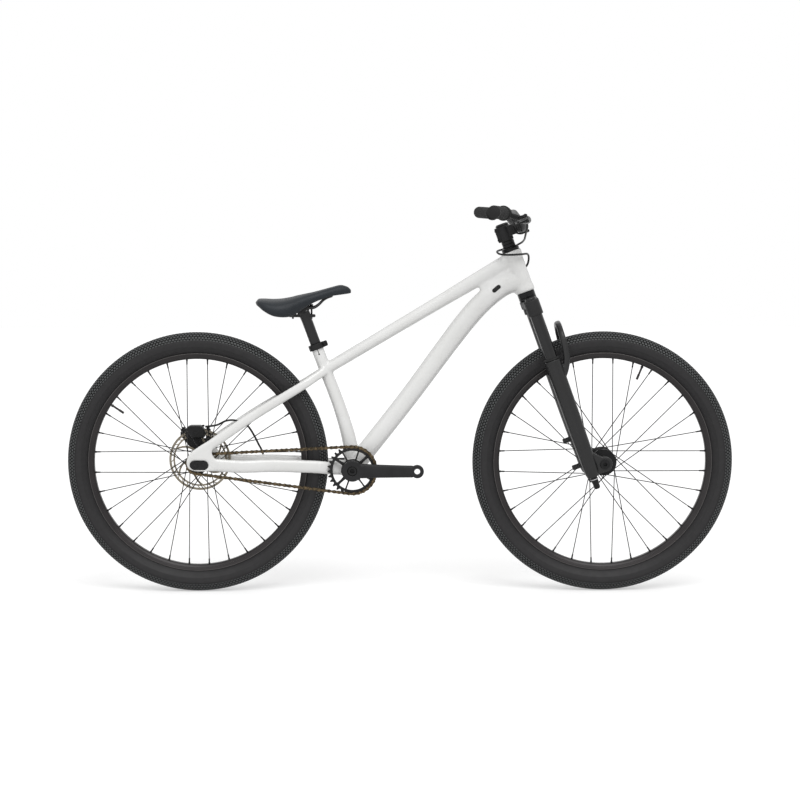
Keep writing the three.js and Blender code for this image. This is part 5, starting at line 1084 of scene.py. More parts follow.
# Fork crown and stanchions. A forged alloy crown, shot-blasted and anodised matt black, is pressed on a
# steel steerer. The two upper legs stand in its sockets; they are ground and coated glossy black.
LEG_AHEAD = 2
LEG_OUT = 65
AHEAD = (1.0, 0.0, 0.0)
STEERER = [(12.6, -40), (14.3, -40), (14.3, 177.2), (13.9, 177.6), (12.6, 177.6)]
STANCHION = [(0, -330), (15, -330), (16, -329), (16, -21), (15.4, -20.4), (14, -20.3), (14, -16),
             (13, -14.4), (5, -14.3), (4.4, -16.2), (0, -16.2)]


def upright(profile, x=0.0, y=0.0, sides=64):
    """A solid turned about a line up the fork through x and y, from rows of (radius, height)."""
    return turned(profile, (x, y, 0), UPRIGHT, sides)


def both_legs(profile, sides=64):
    """The same solid on both legs."""
    return [upright(profile, LEG_AHEAD, side * LEG_OUT, sides) for side in (1, -1)]


matt_black = finish("matt_black_forging", clouded(0.03, (0.00925, 0.00925, 0.0095), (0.0135, 0.0135, 0.014)),
                    uneven(0.006, 0.16, 0.4), grain(0.0007, 4.0), 0.00008, Specular_IOR_Level=0.3)
bridge_at = np.linspace(-1, 1, 15)
bridge_swell = np.cos(bridge_at * math.pi / 2) ** 2
bridge = np.column_stack([LEG_AHEAD * np.abs(bridge_at) + 1.5 * bridge_swell, LEG_OUT * bridge_at,
                          np.full(15, -30.8)])
crown_shapes = [
    tube(bridge, 16 + 7 * bridge_swell, 10.2, 40, 5, AHEAD),
    upright([(0, -41), (23, -41), (23.7, -40), (23.7, -21.6), (22.6, -20.6), (0, -20.6)]),
    *both_legs([(0, -61), (19, -61), (19.9, -60), (19.9, -21.6), (18.9, -20.5), (0, -20.5)]),
]
crown_holes = both_legs(straight(16.3, -70, -10), 48)
filleted("fork_crown_forged", in_steering(crown_shapes), in_steering(crown_holes), 1.3, 8, matt_black,
         "fork_upper", ["fork_crown_steerer"])
steering("steerer_tube", [ring_about(STEERER)], black_turned, "fork_upper", ["fork_crown_steerer"])
gloss_black = finish("gloss_black_stanchion", clouded(0.05, (0.005, 0.005, 0.0055), (0.008, 0.008, 0.0085)),
                     0.22, grain(0.002, 2.0), 0.00001,
                     Specular_IOR_Level=0.3, Coat_Weight=0.15, Coat_Roughness=0.08)
for side, facing in SIDES:
    leg = upright(STANCHION, LEG_AHEAD, facing * LEG_OUT)
    steering("stanchion_" + side + "_ground", [leg], gloss_black, "fork_upper", ["stanchion_" + side])

# Fork lowers. One magnesium casting, painted satin black: two tapering legs bored for the stanchions,
# an arch ahead of them, lugs clamped on the axle and two posts for a brake. Rubber wipers close the legs.
ARCH = [(8, 1, -236), (24, 1.0, -219), (38.8, 0.985, -190.9), (45, 0.93, -158), (47.5, 0.8, -129.5),
        (49.5, 0.45, -109.5), (50.5, 0, -104.5)]
LEG_PROFILE = [(0, -499), (15.4, -499), (18, -488), (19, -477), (21.1, -339.5), (21.3, -200), (21.5, -192),
               (21.5, -183), (20.8, -182.3), (0, -182.3)]
FOOT_CAP = [(0, -531), (5.4, -531), (6.2, -530.4), (8.2, -527), (8.2, -516), (9, -514), (9, -499.5),
            (0, -499.5)]
FOOT_RING = [(9.1, -506.4), (10.6, -506.2), (10.6, -504.6), (9.1, -504.4)]
WIPER = [(16.3, -181.7), (20.5, -181.7), (20.5, -178.6), (18.6, -176.4), (16.3, -176.1)]
AXLE_PROFILE = [(0, -66), (4.6, -66), (4.6, -74), (5.2, -74.6), (11.6, -74.6), (12.5, -73.8),
                (12.5, -71.9), (10, -71.7), (10, 70.8), (9.3, 71.6), (5.6, 71.6), (5.0, 71), (5, 62), (0, 62)]
LUG_RADIUS = 19.8
LUG_INNER, LUG_OUTER = 55.4, 71.2
POSTS = [np.array([0, 57, height]) for height in (-FORK_DROP, -404)]
POST_PROFILE = [(0, 6.2), (0.03, 7), (1, 7)]
arch_half = eased(ARCH, 20)
arch_path = np.vstack([arch_half, arch_half[-2::-1] * [1, -1, 1]]) * [1, LEG_OUT, 1]
arch_wide = np.interp(np.abs(arch_path[:, 1]), [0, 30, 60, 65], [7.6, 7.6, 8, 8.5])
lug_turn = np.linspace(-0.62, 0.5, 20) * math.pi
lug = np.vstack([np.column_stack([FORK_REACH + LUG_RADIUS * np.cos(lug_turn),
                                  LUG_RADIUS * np.sin(lug_turn) - FORK_DROP]),
                 [(2, -420), (-9, -450), (-8, -496)]])
lowers_shapes = [*both_legs(LEG_PROFILE), tube(arch_path, arch_wide, 7.2, 32, 3.2, AHEAD)]
for side in (1, -1):
    near, far = sorted([side * LUG_INNER, side * LUG_OUTER])
    lowers_shapes.append(prism(resampled(lug, 80), near, far, 1.2))
lowers_shapes += [rods(post - [36, 0, 0], post + [4, 0, 0], POST_PROFILE, 24) for post in POSTS]
lowers_holes = both_legs(straight(17.2, -445, -160), 48)
lowers_holes.append(rods((FORK_REACH, -90, -FORK_DROP), (FORK_REACH, 90, -FORK_DROP), 10.4, 32))
lowers_holes += [rods(post - [50, 0, 0], post - [20, 0, 0], 2.6, 16) for post in POSTS]
satin_paint = finish("satin_black_paint", clouded(0.05, (0.00825, 0.00825, 0.0085), (0.011, 0.011, 0.0115)),
                     uneven(0.01, 0.12, 0.3), grain(0.0012), 0.00006,
                     Coat_Weight=0.15, Coat_Roughness=0.25, Specular_IOR_Level=0.3)
filleted("fork_lowers_cast", in_steering(lowers_shapes), in_steering(lowers_holes), 1.5, 8, satin_paint,
         "fork_lower", ["fork_lowers"])
steering("fork_foot_caps", both_legs(FOOT_CAP, 32), black_turned, "fork_lower", ["fork_lowers"])
foot_ring = finish("pale_foot_ring", clouded(0.01, (0.42, 0.42, 0.43), (0.56, 0.56, 0.57)), 0.3,
                   grain(0.0008, 2.0), 0.00003, Metallic=0.8)
foot_rings = [turned(FOOT_RING, (LEG_AHEAD, side * LEG_OUT, 0), UPRIGHT, 48, True) for side in (1, -1)]
steering("fork_foot_rings", foot_rings, foot_ring, "fork_lower", ["fork_lowers"])
soft_rubber = finish("soft_black_rubber", clouded(0.02, (0.008, 0.008, 0.008), (0.012, 0.012, 0.012)),
                     uneven(0.01, 0.12, 0.6), grain(0.0008), 0.00006, Specular_IOR_Level=0.3)
for side, facing in SIDES:
    wiper = turned(softened(WIPER, 0.5), (LEG_AHEAD, facing * LEG_OUT, 0), UPRIGHT, 64, True)
    steering("fork_wiper_" + side + "_moulded", [wiper], soft_rubber, "fork_lower", ["fork_wiper_" + side])
steering("front_axle_turned", [turned(AXLE_PROFILE, (FORK_REACH, 0, -FORK_DROP), sides=48)], black_turned,
         "fork_lower", ["front_axle"])

# Stem, handlebar and grips. A machined stem is clamped on the steerer by two bolts behind it, and its
# face is drawn on the bar by four. The butted alloy bar rises and sweeps back to ribbed rubber grips.
BAR_AHEAD, BAR_UP = 42, 162.6
BAR_HALF = 380
BEND_START, BEND_END = 39, 110
BEND_BACK, BEND_RISE = 11.73, 36
SWEEP_BACK, SWEEP_RISE = 57.27, 27
GRIP_START, GRIP_END = 250, 379.6
RIB_PITCH, RIB_HEIGHT = 4.2, 1.1
GRIP_RADIUS, GRIP_COLLAR, GRIP_TIP = 14.6, 18.6, 15.6
PINCH_BOLT = [(0, 3.0), (0.04, 3.6), (0.3, 3.6), (0.31, 2.6), (1, 2.6)]
FACE_BOLTS = [(y, BAR_UP + z) for y in (-19.5, 19.5) for z in (-17.2, 17.2)]


def bar_at(y):
    """The bar's centre line: it rises and runs back over a smooth bend, then sweeps straight out."""
    y = np.asarray(y, float)
    rise = np.clip((np.abs(y) - BEND_START) / (BEND_END - BEND_START), 0, 1)
    bend = rise * rise * (3 - 2 * rise)
    out = np.maximum(np.abs(y) - BEND_END, 0) / (BAR_HALF - BEND_END)
    return np.stack([BAR_AHEAD - bend * BEND_BACK - out * SWEEP_BACK, y,
                     BAR_UP + bend * BEND_RISE + out * SWEEP_RISE], -1)


def box(xs, ys, zs, edge=0.8):
    """A box between three pairs of heights, with its edges along Y and its end faces' rims broken."""
    corners = np.array([(xs[0], zs[0]), (xs[1], zs[0]), (xs[1], zs[1]), (xs[0], zs[1])], float)
    return prism(softened(corners, edge), ys[0], ys[1], edge)


stem_drum = turned(drum(20.8, 26, 0.8, 0.8), (BAR_AHEAD, 0, BAR_UP))
bar_hole = turned(straight(16.3, -60, 60), (BAR_AHEAD, 0, BAR_UP))
stem_shapes = [upright([(0, 138.7), (17, 138.7), (17.8, 139.6), (17.8, 177.6), (17, 178.5), (0, 178.5)]),
               box((-22, 0), (-9.8, 9.8), (139.6, 177.6)), box((4, 41), (-15.4, 15.4), (148.4, 175.2)),
               stem_drum]
stem_holes = [upright(straight(14.6, 120, 200)), bar_hole, block((41.6, 80), (-40, 40), (120, 200)),
              block((-40, 0), (-0.9, 0.9), (120, 200))]
filleted("stem_machined", in_steering(stem_shapes), in_steering(stem_holes), 0.9, 5, satin_alloy,
         "fork_upper", ["stem"])
stem_bolts = [rods((-20.1, -10.6, BAR_UP + lift), (-20.1, 10.6, BAR_UP + lift), PINCH_BOLT, 20)
              for lift in (-16, 8)]
steering("stem_pinch_bolts", stem_bolts, black_turned, "fork_upper", ["stem"])
face_shapes = [stem_drum, *[rods((50, y, z), (58.5, y, z), 4.1, 20) for y, z in FACE_BOLTS]]
face_holes = [bar_hole, block((0, 42.5), (-40, 40), (120, 200)),
              block((50, 80), (-10.4, 10.4), (152.1, 173.1))]
filleted("stem_faceplate_machined", in_steering(face_shapes), in_steering(face_holes), 0.9, 4, satin_alloy,
         "fork_upper", ["stem_faceplate"])
face_bolts = [rods((54, y, z), (60.4, y, z), [(0, 3.2), (0.85, 3.2), (1, 2.6)], 16) for y, z in FACE_BOLTS]
steering("stem_face_bolts", face_bolts, black_turned, "fork_upper", ["stem_faceplate"])

bar_y = np.concatenate([np.linspace(-376.5, -112, 30), np.linspace(-110, 110, 81),
                        np.linspace(112, 376.5, 30)])
bar_round = np.interp(np.abs(bar_y) / 376.7, [0, 0.1, 0.19, 0.29, 0.36, 1],
                      [15.9, 15.9, 14.46, 12.44, 11.1, 11.1])
steering("handlebar_butted", [tube(bar_at(bar_y), bar_round, bar_round, 40, 2, AHEAD)], satin_alloy,
         "fork_upper", ["handlebar"])
grip_y = np.linspace(GRIP_START, GRIP_END, 150)
ribbed = GRIP_RADIUS + RIB_HEIGHT * np.abs(np.sin((grip_y - GRIP_START) * math.pi / RIB_PITCH))
grip_round = np.where(grip_y > GRIP_END - 5, GRIP_TIP, ribbed)
grip_round[grip_y < GRIP_START + 4] = GRIP_COLLAR
grip_round[[0, -1]] -= 1.2
for side, facing in SIDES:
    shape = tube(bar_at(facing * grip_y), grip_round, grip_round, 40, 2, AHEAD)
    steering("grip_" + side + "_ribbed", [shape], soft_rubber, "fork_upper", ["grip_" + side], 50)

# Brake lever and hoses. A forged lever body is clamped on the bar's right and holds the oil cylinder,
# with a curved alloy blade on a pin. Its rubber-sheathed hose winds once round the head tube into the
# frame, and another comes out at the chain stay and runs to the rear caliper.
PIVOT = bar_at(-222.24) + [43.4, 0, -28]
HOSE_RADIUS = 2.6
LEVER_AHEAD, LEVER_BELOW = 35.0, 28.0
CYLINDER_START, CYLINDER_LENGTH = 150, 84
CYLINDER_TABLE = [(0, 7.6, 7.6), (0.04, 9.4, 9.4), (0.3, 10.3, 10.3), (0.8, 10.3, 10.4), (1, 9.4, 9.8)]
CLAMP_Y, NECK_Y = 226, 222
NECK_WIDE, NECK_TALL = 6.4, 6.6
EAR_LOWS, EAR_THICK = (-10.4, 4.2), 6.2
BAR_HOLE, PIN_HOLE = 11.4, 2.75
BLADE_LENGTH = 112
BLADE_TABLE = [(0.0, 0.0, 1.0), (0.16, 0.02, 0.85), (0.42, 0.17, 0.8), (0.75, 0.28, 0.95),
               (0.93, 0.265, 1.0), (1, 0.245, 0.8)]
BLADE_EYE = [(2.6, -3.6), (5.4, -3.6), (5.9, -3.1), (5.9, 3.1), (5.4, 3.6), (2.6, 3.6)]


def lever_at(y):
    """The oil cylinder's centre line: the bar's own, moved ahead of it and below it."""
    return bar_at(-y) + [LEVER_AHEAD, 0, -LEVER_BELOW]


def about_pivot(*spans):
    """Three pairs of heights that are given from the blade's pivot."""
    return [(place + low, place + high) for place, (low, high) in zip(PIVOT, spans)]


rows = eased(CYLINDER_TABLE, 24)
cylinder_path = lever_at(CYLINDER_START + CYLINDER_LENGTH * rows[:, 0])
cylinder = tube(cylinder_path, rows[:, 1], rows[:, 2], 32, 2.3, AHEAD)
clamp_middle = bar_at(-CLAMP_Y)
clamp = turned(drum(16.3, 6.8, 0.7, 0.8), clamp_middle)
neck = tube([clamp_middle + [10, 0, -8], lever_at(NECK_Y) + [-4, 0, 4]], NECK_WIDE, NECK_TALL, 24, 3)
ears = [box(*about_pivot((-10, 5.2), (-8, 8), (low, low + EAR_THICK)), 1.4) for low in EAR_LOWS]
bar_way = bar_at(-CLAMP_Y - 4) - bar_at(-CLAMP_Y + 4)
bar_way /= np.linalg.norm(bar_way)
lever_holes = [turned(straight(BAR_HOLE, -30, 30), clamp_middle, bar_way),
               block(*about_pivot((-10, 14), (-21, 9), (-4.1, 4.1)))]
filleted("brake_lever_body_forged", in_steering([cylinder, clamp, neck, *ears]), in_steering(lever_holes),
         0.9, 6, satin_alloy, "fork_upper", ["brake_lever_body"])
lever_pin = turned(drum(2.5, 11.4, 0.5, 0.4), PIVOT, UPRIGHT, 24)
steering("brake_lever_pin_turned", [lever_pin], black_turned, "fork_upper", ["brake_lever_pin"])
rows = eased(BLADE_TABLE, 40)
blade_path = PIVOT + np.column_stack([-rows[:, 1], -rows[:, 0], np.zeros(40)]) * BLADE_LENGTH
blade_shapes = [tube(blade_path, 3.1, 3.5 * rows[:, 2], 24, 2.6, AHEAD),
                turned(BLADE_EYE, PIVOT, UPRIGHT, 32, True)]
blade_hole = turned(straight(PIN_HOLE, -9, 9), PIVOT, UPRIGHT, 24)
filleted("brake_lever_blade_forged", in_steering(blade_shapes), in_steering([blade_hole]), 0.7, 4,
         satin_alloy, "brake_lever", ["brake_lever_blade"])


def routed(places, steps):
    """A curve through places: on each span a cubic whose end slopes weigh the neighbouring chords by
    the square roots of their lengths."""
    places = np.asarray(places, float)
    ends = np.vstack([2 * places[0] - places[1], places, 2 * places[-1] - places[-2]])
    gaps = np.sqrt(np.linalg.norm(np.diff(ends, axis=0), axis=1))[:, None]
    a, b, c, d = ends[:-3], ends[1:-2], ends[2:-1], ends[3:]
    before, here, after = gaps[:-2], gaps[1:-1], gaps[2:]
    out = ((b - a) / before - (c - a) / (before + here) + (c - b) / here) * here
    into = ((c - b) / here - (d - b) / (here + after) + (d - c) / after) * here
    t = np.linspace(0, 1, steps, endpoint=False)[:, None, None]
    curve = b + out * t + (3 * (c - b) - 2 * out - into) * t ** 2 + (2 * (b - c) + out + into) * t ** 3
    return np.vstack([curve.transpose(1, 0, 2).reshape(-1, 3), places[-1:]])


def hose(path, radius, sides=16):
    """A round hose along a path. Its sections are carried along without twist."""
    ahead = np.gradient(path, axis=0)
    ahead /= np.linalg.norm(ahead, axis=1)[:, None]
    right = [np.cross(ahead[0], np.eye(3)[np.argmin(np.abs(ahead[0]))])]
    for way in ahead[1:]:
        right.append(right[-1] - way * (right[-1] @ way))
    right = np.array(right)
    right /= np.linalg.norm(right, axis=1)[:, None]
    up = np.cross(ahead, right)
    angle = np.arange(sides)[None, :, None] * 2 * math.pi / sides
    ring = np.cos(angle) * right[:, None] + np.sin(angle) * up[:, None]
    radius = np.broadcast_to(radius, len(path))[:, None, None]
    return skin(path[:, None] + ring * radius)


# Both routes are in tenths of a metre: the front one's in steering axes, the rear one's from its axle,
# as ahead, up and out.
ROUTE_UNIT = 100
FRONT_HOSE = [
    (0.5, -1.2, 1.55), (0.45, -0.86, 1.42), (0.42, -0.54, 1.33), (0.4, -0.18, 1.27), (0.32, 0.18, 1.21),
    (0.1, 0.36, 1.18), (-0.2, 0.31, 1.21), (-0.34, 0, 1.21), (-0.29, -0.26, 1.13), (-0.05, -0.38, 1.03),
    (0.22, -0.32, 0.95), (0.37, -0.06, 0.89), (0.37, 0.12, 0.77), (0.28, 0.24, 0.62), (0.05, 0.34, 0.5),
    (-0.3, 0.39, 0.42), (-0.55, 0.39, 0.37)]
REAR_HOSE = [
    (0.143, 0.86, 0.5), (0.3, 0.875, 0.505), (0.46, 0.905, 0.51), (0.685, 1.01, 0.495), (0.88, 1.03, 0.475),
    (1.035, 0.99, 0.465), (1.25, 0.875, 0.465), (1.405, 0.64, 0.495), (1.52, 0.4, 0.535),
    (1.595, 0.25, 0.568), (1.625, 0.17, 0.574), (1.638, 0.128, 0.574)]
PORT_AHEAD, PORT_UP = -68, 34
PORT_INNER, PORT_FACE = 20.4, 23.9
hose_rubber = finish("black_hose_sheath", clouded(0.02, (0.006, 0.006, 0.006), (0.0095, 0.0095, 0.0095)),
                     uneven(0.01, 0.1, 0.38), grain(0.0008), 0.00004, Specular_IOR_Level=0.3)
lead = np.array([0, 7.8, 0])
hose_start = lever_at(CYLINDER_START) + [0, 0.6, 0]
hose_end = np.array([PORT_AHEAD, 24.3, PORT_UP])
front_places = np.array(FRONT_HOSE) * ROUTE_UNIT
front_route = routed([hose_start, hose_start + lead, *front_places, hose_end + lead, hose_end], 12)
front_hose = steering("front_brake_hose_sheathed", [hose(front_route, HOSE_RADIUS)], hose_rubber, None,
                      ["front_brake_hose"], 50)
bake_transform(front_hose)
rear_places = np.array(REAR_HOSE)[:, [0, 2, 1]] * ROUTE_UNIT + REAR_AXLE
built("rear_brake_hose_sheathed", [hose(routed(rear_places, 8), HOSE_RADIUS)], ORIGIN, hose_rubber, "frame",
      ["rear_brake_hose"], 50)
port_axes = np.array([[math.cos(HEAD_LEAN), math.sin(HEAD_LEAN)],
                      [-math.sin(HEAD_LEAN), math.cos(HEAD_LEAN)]])
port = slot_outline(7.3, 5.3, 0) @ port_axes + [PORT_AHEAD, PORT_UP]
for side, facing in SIDES:
    near, far = sorted([facing * PORT_INNER, facing * PORT_FACE])
    steering("cable_port_" + side + "_moulded", [prism(port, near, far, 0.8)], soft_rubber, "frame",
             ["cable_port_" + side])

# Rear brake. A black forged caliper straddles the rotor, bolted down through two slotted lugs. A pressed
# steel bracket carries it from the dropout on two spacers, and two pads hang in its slot.
CALIPER = np.array([-531.5, 52, 408.5])
CALIPER_LUGS = (-563.5, -499.5)
CALIPER_EDGE = [(-25, -16.3), (25, -16.3), (25, 2), (17, 16.2), (-16, 16.2), (-25, 7)]
CALIPER_BAR = [(-39, -1.3), (39, -1.3), (39, 6.3), (-39, 6.3)]
PAD_EDGE = [(-13, -11.5), (13, -11.5), (13, 7.6), (-13, 7.6)]
PAD_PLACE = (-531.5, 0, 408.6)
BRACKET_UNIT = 24.66
BRACKET_TABLE = BRACKET_UNIT * np.array([
    (-2.05, 2.9), (-2.05, 2.5), (-0.5, 0.65), (0.75, 0.6), (1, 1.3), (1.25, 2.4), (1.25, 2.9), (0.66, 2.9),
    (0.64, 2.25), (-1.55, 2.25), (-1.52, 2.9)])
LUG_BOLT = [(0, 2.5), (0.68, 2.5), (0.7, 4.4), (0.95, 4.4), (1, 3.6)]
caliper_shapes = [prism(softened(CALIPER_EDGE, 3.5), -15.8, 15.8, 2),
                  turned(drum(9.6, 15.9, 1.1, 1.1), (0, 0, -2)),
                  prism(softened(CALIPER_BAR, 1.2), 1.6, 10.8, 1)]
caliper_holes = [block((-560, -500), (47.1, 55.3), (380, 417)),
                 *[rods((x, 58.4, 400), (x, 58.4, 420), 3.0, 20) for x in CALIPER_LUGS],
                 turned(straight(5.4, -20, -14.6), CALIPER - [0, 0, 2], sides=32)]
filleted("brake_caliper_forged", at_place(caliper_shapes, CALIPER), caliper_holes, 0.9, 5, satin_alloy,
         "frame", ["brake_caliper"])
caliper_screws = [rods((-512, 60, 420.6), (-512, 60, 424.8), [(0, 3.4), (0.75, 3.4), (1, 2.7)], 12),
                  rods((-545, 36.1, 406), (-545, 39, 406), 2.6, 12)]
built("brake_caliper_screws", caliper_screws, ORIGIN, black_turned, "frame", ["brake_caliper"],
      35)
pad_steel = finish("grey_pad_lining",
                   clouded(0.002, (0.05, 0.045, 0.04), (0.16, 0.15, 0.14), 4.0, (0.35, 0.65)), 0.7,
                   grain(0.0006), 0.00008)
pads = [prism(softened(PAD_EDGE, 1.5), low, low + 3.0, 0.3) for low in (47.4, 52.0)]
built("brake_pads_moulded", pads, PAD_PLACE, pad_steel, "frame", ["brake_pads"], 35)
bracket_edge = resampled(BRACKET_TABLE + REAR_AXLE[[0, 2]], 220)
bracket_shapes = [prism(bracket_edge, 53.5, 57.3, 0.5)]
for x in CALIPER_LUGS:
    bracket_shapes += [box((x - 6.6, x + 6.6), (53.6, 66.6), (399.4, 406.2), 0.6),
                       rods((x, 58.4, 406), (x, 58.4, 419), LUG_BOLT, 20)]
for x, z in ((-0.12, 1), (0.5, 0.88)):
    foot = REAR_AXLE + np.array([x, 0, z]) * BRACKET_UNIT
    bracket_shapes.append(rods(foot + [0, 56, 0], foot + [0, 67.4, 0], 4.4, 24))
built("caliper_bracket_pressed", bracket_shapes, ORIGIN, satin_alloy, "frame", ["caliper_bracket"],
      35)

# Seat collar and post. A machined collar, slit in front and drawn in by one bolt, holds the round alloy
# post. The post's forged head is a cradle with a slotted ear before and behind it for the clamp's bolts.
SADDLE_AT = SEAT_TOP + 113 * POST_UP
COLLAR_PROFILE = [(0, -14.9), (19.8, -14.9), (20.6, -14), (20.6, -0.8), (19.8, 0.1), (0, 0.1)]
COLLAR_BORE = [(0, -40), (16.3, -40), (16.3, -1.6), (13.9, -1.6), (13.9, 40), (0, 40)]
COLLAR_BOLT = [(0, -11.6), (2.2, -11.6), (2.2, -13.2), (3.9, -13.2), (4.2, -12.8), (4.2, -9.3), (2.5, -9.2),
               (2.5, 8.9), (0, 8.9)]
BOLT_AHEAD, BOLT_UP = 25.2, -7.5


def up_post(shapes, origin=COLLAR_TOP):
    """Shapes built about the post, with their Z up it, set at the seat tube's top."""
    return [placed(shape, origin, POST_AHEAD, SIDEWAYS, POST_UP) for shape in shapes]


collar_shapes = [upright(COLLAR_PROFILE), box((14, 29.4), (-8.8, 8.8), (-14.6, -0.2), 2.2)]
collar_holes = [upright(COLLAR_BORE), block((10, 40), (-0.6, 0.6), (-40, 40)),
                rods((BOLT_AHEAD, -20, BOLT_UP), (BOLT_AHEAD, 20, BOLT_UP), 2.8, 24)]
filleted("seat_collar_machined", up_post(collar_shapes), up_post(collar_holes), 0.8, 5, satin_alloy,
         "frame", ["seat_collar"])
collar_bolt = turned(COLLAR_BOLT, (BOLT_AHEAD, 0, BOLT_UP), sides=32)
built("seat_collar_bolt_turned", up_post([collar_bolt]), ORIGIN, black_turned, "frame",
      ["seat_collar_bolt"], 35)
head_cradle = [turned(drum(18.9, 14, 0.9, 0.9)), box((-34, 34), (-6.4, 6.4), (-24.8, -17.2), 1.6)]
head_neck = upright([(0, -34), (13.6, -34), (14.4, -22), (14.4, -8), (0, -8)])
head_holes = [turned(straight(14.35, -40, 40)), block((-60, 60), (-40, 40), (-5, 60)),
              *[box((x - 5.3, x + 5.3), (-2.9, 2.9), (-60, -10), 0.8) for x in (-24, 24)]]
post_black = finish("satin_black_post", clouded(0.04, (0.0075, 0.0075, 0.00775), (0.011, 0.011, 0.0115)),
                    uneven(0.01, 0.12, 0.28), grain(0.0008), 0.00004,
                    Coat_Weight=0.1, Specular_IOR_Level=0.3)
filleted("seatpost_head", at_place(head_cradle, SADDLE_AT) + up_post([head_neck], SADDLE_AT),
         at_place(head_holes, SADDLE_AT), 0.9, 6, post_black, "post", ["seatpost"])
post_tube = upright([(0, -76), (12.9, -76), (13.55, -75), (13.55, 100), (0, 100)])
built("seatpost_tube", up_post([post_tube], SEAT_TOP), ORIGIN, post_black, "post", ["seatpost"])

# Saddle. Two forged clamps and two bolts hold steel rails. A carbon-filled nylon shell springs between
# the rails' ends, and firm foam on it is covered in slate synthetic leather, drawn tight round its edge.
SADDLE_LENGTH = 242
SADDLE_HALF = 68
SADDLE_BACK = 117
CLAMP_BOLTS = (-24, 24)
RAIL_OUT = 22
RAIL_RADIUS = 3.45
RAIL_GROOVE = 3.9
SADDLE_BOLT = [(0, 2.0), (0.02, 2.4), (0.92, 2.4), (0.93, 4.2), (0.985, 4.2), (1, 3.6)]
RAIL_TABLE = np.array([
    (-0.33, 1.3, 0.045), (-0.25, 1.22, 0.03), (-0.15, 1, 0), (0, 1, 0), (0.125, 1, 0.02), (0.175, 0.85, 0.3),
    (0.225, 0.55, 0.75), (0.265, 0.4, 0.98), (0.295, 0.3, 1.08), (0.31, 0.12, 1.12)])


def clamp_half(name, shapes, holes):
    """Shows one half of the saddle's clamp."""
    filleted(name + "_forged", at_place(shapes, SADDLE_AT), at_place(holes, SADDLE_AT), 0.8, 3, satin_alloy,
             "saddle", [name])


clamp_half("saddle_clamp_lower", [turned(drum(13.9, 29, 1, 1))], [
    block((-40, 40), (-60, 60), (-0.3, 60)),
    *[rods((-20, y, 0.4), (20, y, 0.4), RAIL_GROOVE, 24) for y in (-RAIL_OUT, RAIL_OUT)]])
clamp_half("saddle_clamp_upper", [
    box((-16.8, 16.8), (-28.8, 28.8), (0.5, 5.9), 1), box((-28, 28), (-6.3, 6.3), (0.5, 5.9), 1)], [
    *[rods((-40, y, 0), (40, y, 0), RAIL_GROOVE, 24) for y in (-RAIL_OUT, RAIL_OUT)],
    *[rods((x, 0, -10), (x, 0, 20), 2.8, 20) for x in CLAMP_BOLTS]])
saddle_bolts = [rods((x, 0, -29), (x, 0, 8.6), SADDLE_BOLT, 20) for x in CLAMP_BOLTS]
built("saddle_clamp_bolts", saddle_bolts, SADDLE_AT, black_turned, "saddle", ["saddle_clamp_upper"],
      35)
rail_half = RAIL_TABLE * [SADDLE_LENGTH, RAIL_OUT, 26]
rail_places = np.vstack([rail_half, rail_half[::-1] * [1, -1, 1]]) + SADDLE_AT
rail_steel = finish("black_rail_steel", clouded(0.02, (0.014, 0.014, 0.015), (0.03, 0.03, 0.031)), 0.3,
                    grain(0.0008, 2.0), 0.00003, Metallic=0.6)
built("saddle_rails_bent", [hose(routed(rail_places, 6), RAIL_RADIUS, 20)], ORIGIN, rail_steel, "saddle",
      ["saddle_rails"], 60)

SADDLE_TABLE = np.array([
    (0, 0.42, 0, 0.08), (0.012, 0.6, 0.12, 0.24), (0.03, 0.74, 0.22, 0.36), (0.09, 0.91, 0.23, 0.6),
    (0.18, 0.99, 0.2, 0.81), (0.27, 0.99, 0.24, 0.91), (0.36, 0.92, 0.36, 0.96), (0.43, 0.79, 0.5, 0.9),
    (0.51, 0.63, 0.64, 0.72), (0.6, 0.49, 0.79, 0.55), (0.7, 0.38, 1, 0.48), (0.8, 0.325, 1.22, 0.46),
    (0.89, 0.285, 1.38, 0.49), (0.96, 0.21, 1.24, 0.36), (0.99, 0.14, 1.05, 0.22), (1, 0.08, 0.93, 0.12)])
COVER_TABLE = [(0, 0), (0.2, 0.006), (0.36, 0.03), (0.66, 0.12), (0.87, 0.28), (0.975, 0.5), (0.995, 0.74),
               (0.94, 0.92), (0.85, 1)]
COVER_UP, COVER_RISE, COVER_DROP = 16.1, 30, 50
COVER_THICK = 14
SHELL_WIDTH = 0.45
SHELL_THICK = 2.8
SHELL_GAP = 0.4


def cover_sizes(row):
    """A row of the table in millimetres: place along, half width, top, drop, and the underside's
    height, where the padding is as thick as it can be up to three quarters of the drop."""
    along, half, top, drop = row
    x = along * SADDLE_LENGTH - SADDLE_BACK
    top, drop = COVER_UP + top * COVER_RISE, drop * COVER_DROP
    return x, half * SADDLE_HALF, top, drop, top - min(COVER_THICK, 0.75 * drop)


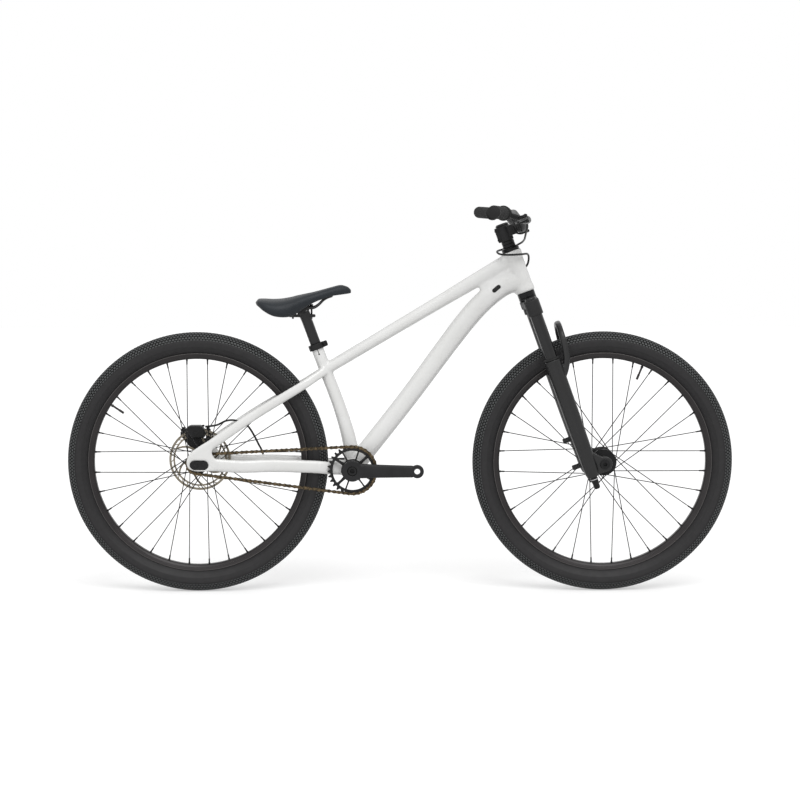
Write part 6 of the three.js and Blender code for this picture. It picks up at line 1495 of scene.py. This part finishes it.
def saddle_section(row):
    """One section of the saddle's cover, from its middle line over the top, round the edge and back
    underneath, at a row of the table: place along, half width, top and drop as shares."""
    x, half, top, drop, under = cover_sizes(row)
    low = top - drop
    outer = eased(COVER_TABLE, 34) * [half, -drop] + [0, top]
    rise = under - low
    inner = np.array([(0.8 * half, low + 0.1 * rise), (0.7 * half, low + 0.6 * rise), (0.47 * half, under),
                      (0.2 * half, under)])
    right = np.vstack([outer, inner])
    left = right[:0:-1] * [-1, 1]
    flat = np.vstack([right, [(0, under)], left])
    return np.column_stack([np.full(len(flat), x), flat])


cover = skin(np.array([saddle_section(row) for row in eased(SADDLE_TABLE, 110)]))


def leather_colour(where):
    """Slate blue grey, a shade lighter on the pores' shoulders and where it is rubbed."""
    rubbed = where.mottle(0.05, 3.0).between(0.35, 0.7)
    pores = where.mottle(0.0012, 2.0).between(0.35, 0.6)
    base = rubbed.colours((0.009, 0.0125, 0.017), (0.013, 0.018, 0.0235))
    return (1.0 - pores).colours(base, (0.0065, 0.009, 0.0125))


leather = finish("slate_synthetic_leather", leather_colour, uneven(0.02, 0.14, 0.42), grain(0.0011), 0.00012,
                 Sheen_Weight=0.05, Specular_IOR_Level=0.3)
saddle_cover = built("saddle_cover_stitched", [cover], SADDLE_AT, leather, "saddle", ["saddle_cover"],
                     50)
shell_rings = []
for row in SADDLE_TABLE[3:-3]:
    x, half, _, _, under = cover_sizes(row)
    wide, high = half * SHELL_WIDTH, under - SHELL_GAP
    low = high - SHELL_THICK
    shell_rings.append([(x, wide, low), (x, wide, high), (x, -wide, high), (x, -wide, low)])
nylon = finish("black_shell_nylon", clouded(0.02, (0.013, 0.013, 0.013), (0.02, 0.02, 0.02)), 0.5,
               grain(0.0006), 0.00008)
built("saddle_shell_moulded", [skin(np.array(shell_rings, float))], SADDLE_AT, nylon, "saddle",
      ["saddle_shell"], 35)

# Hidden pieces. The tyres' butyl inner tubes and the headset's steel bearings keep the solid part's own
# shapes, out of sight inside their tyres and cups, and get their own materials.
butyl = finish("black_butyl_tube", clouded(0.03, (0.014, 0.014, 0.014), (0.022, 0.022, 0.022)), 0.55,
               grain(0.001), 0.00005)
HIDDEN = [("front_inner_tube", butyl), ("rear_inner_tube", butyl), ("headset_lower_bearing", spindle_steel),
          ("headset_upper_bearing", spindle_steel)]
for node_name, material in HIDDEN:
    hidden_mesh = bpy.data.objects[node_name].data
    hidden_mesh.materials.clear()
    hidden_mesh.materials.append(material)
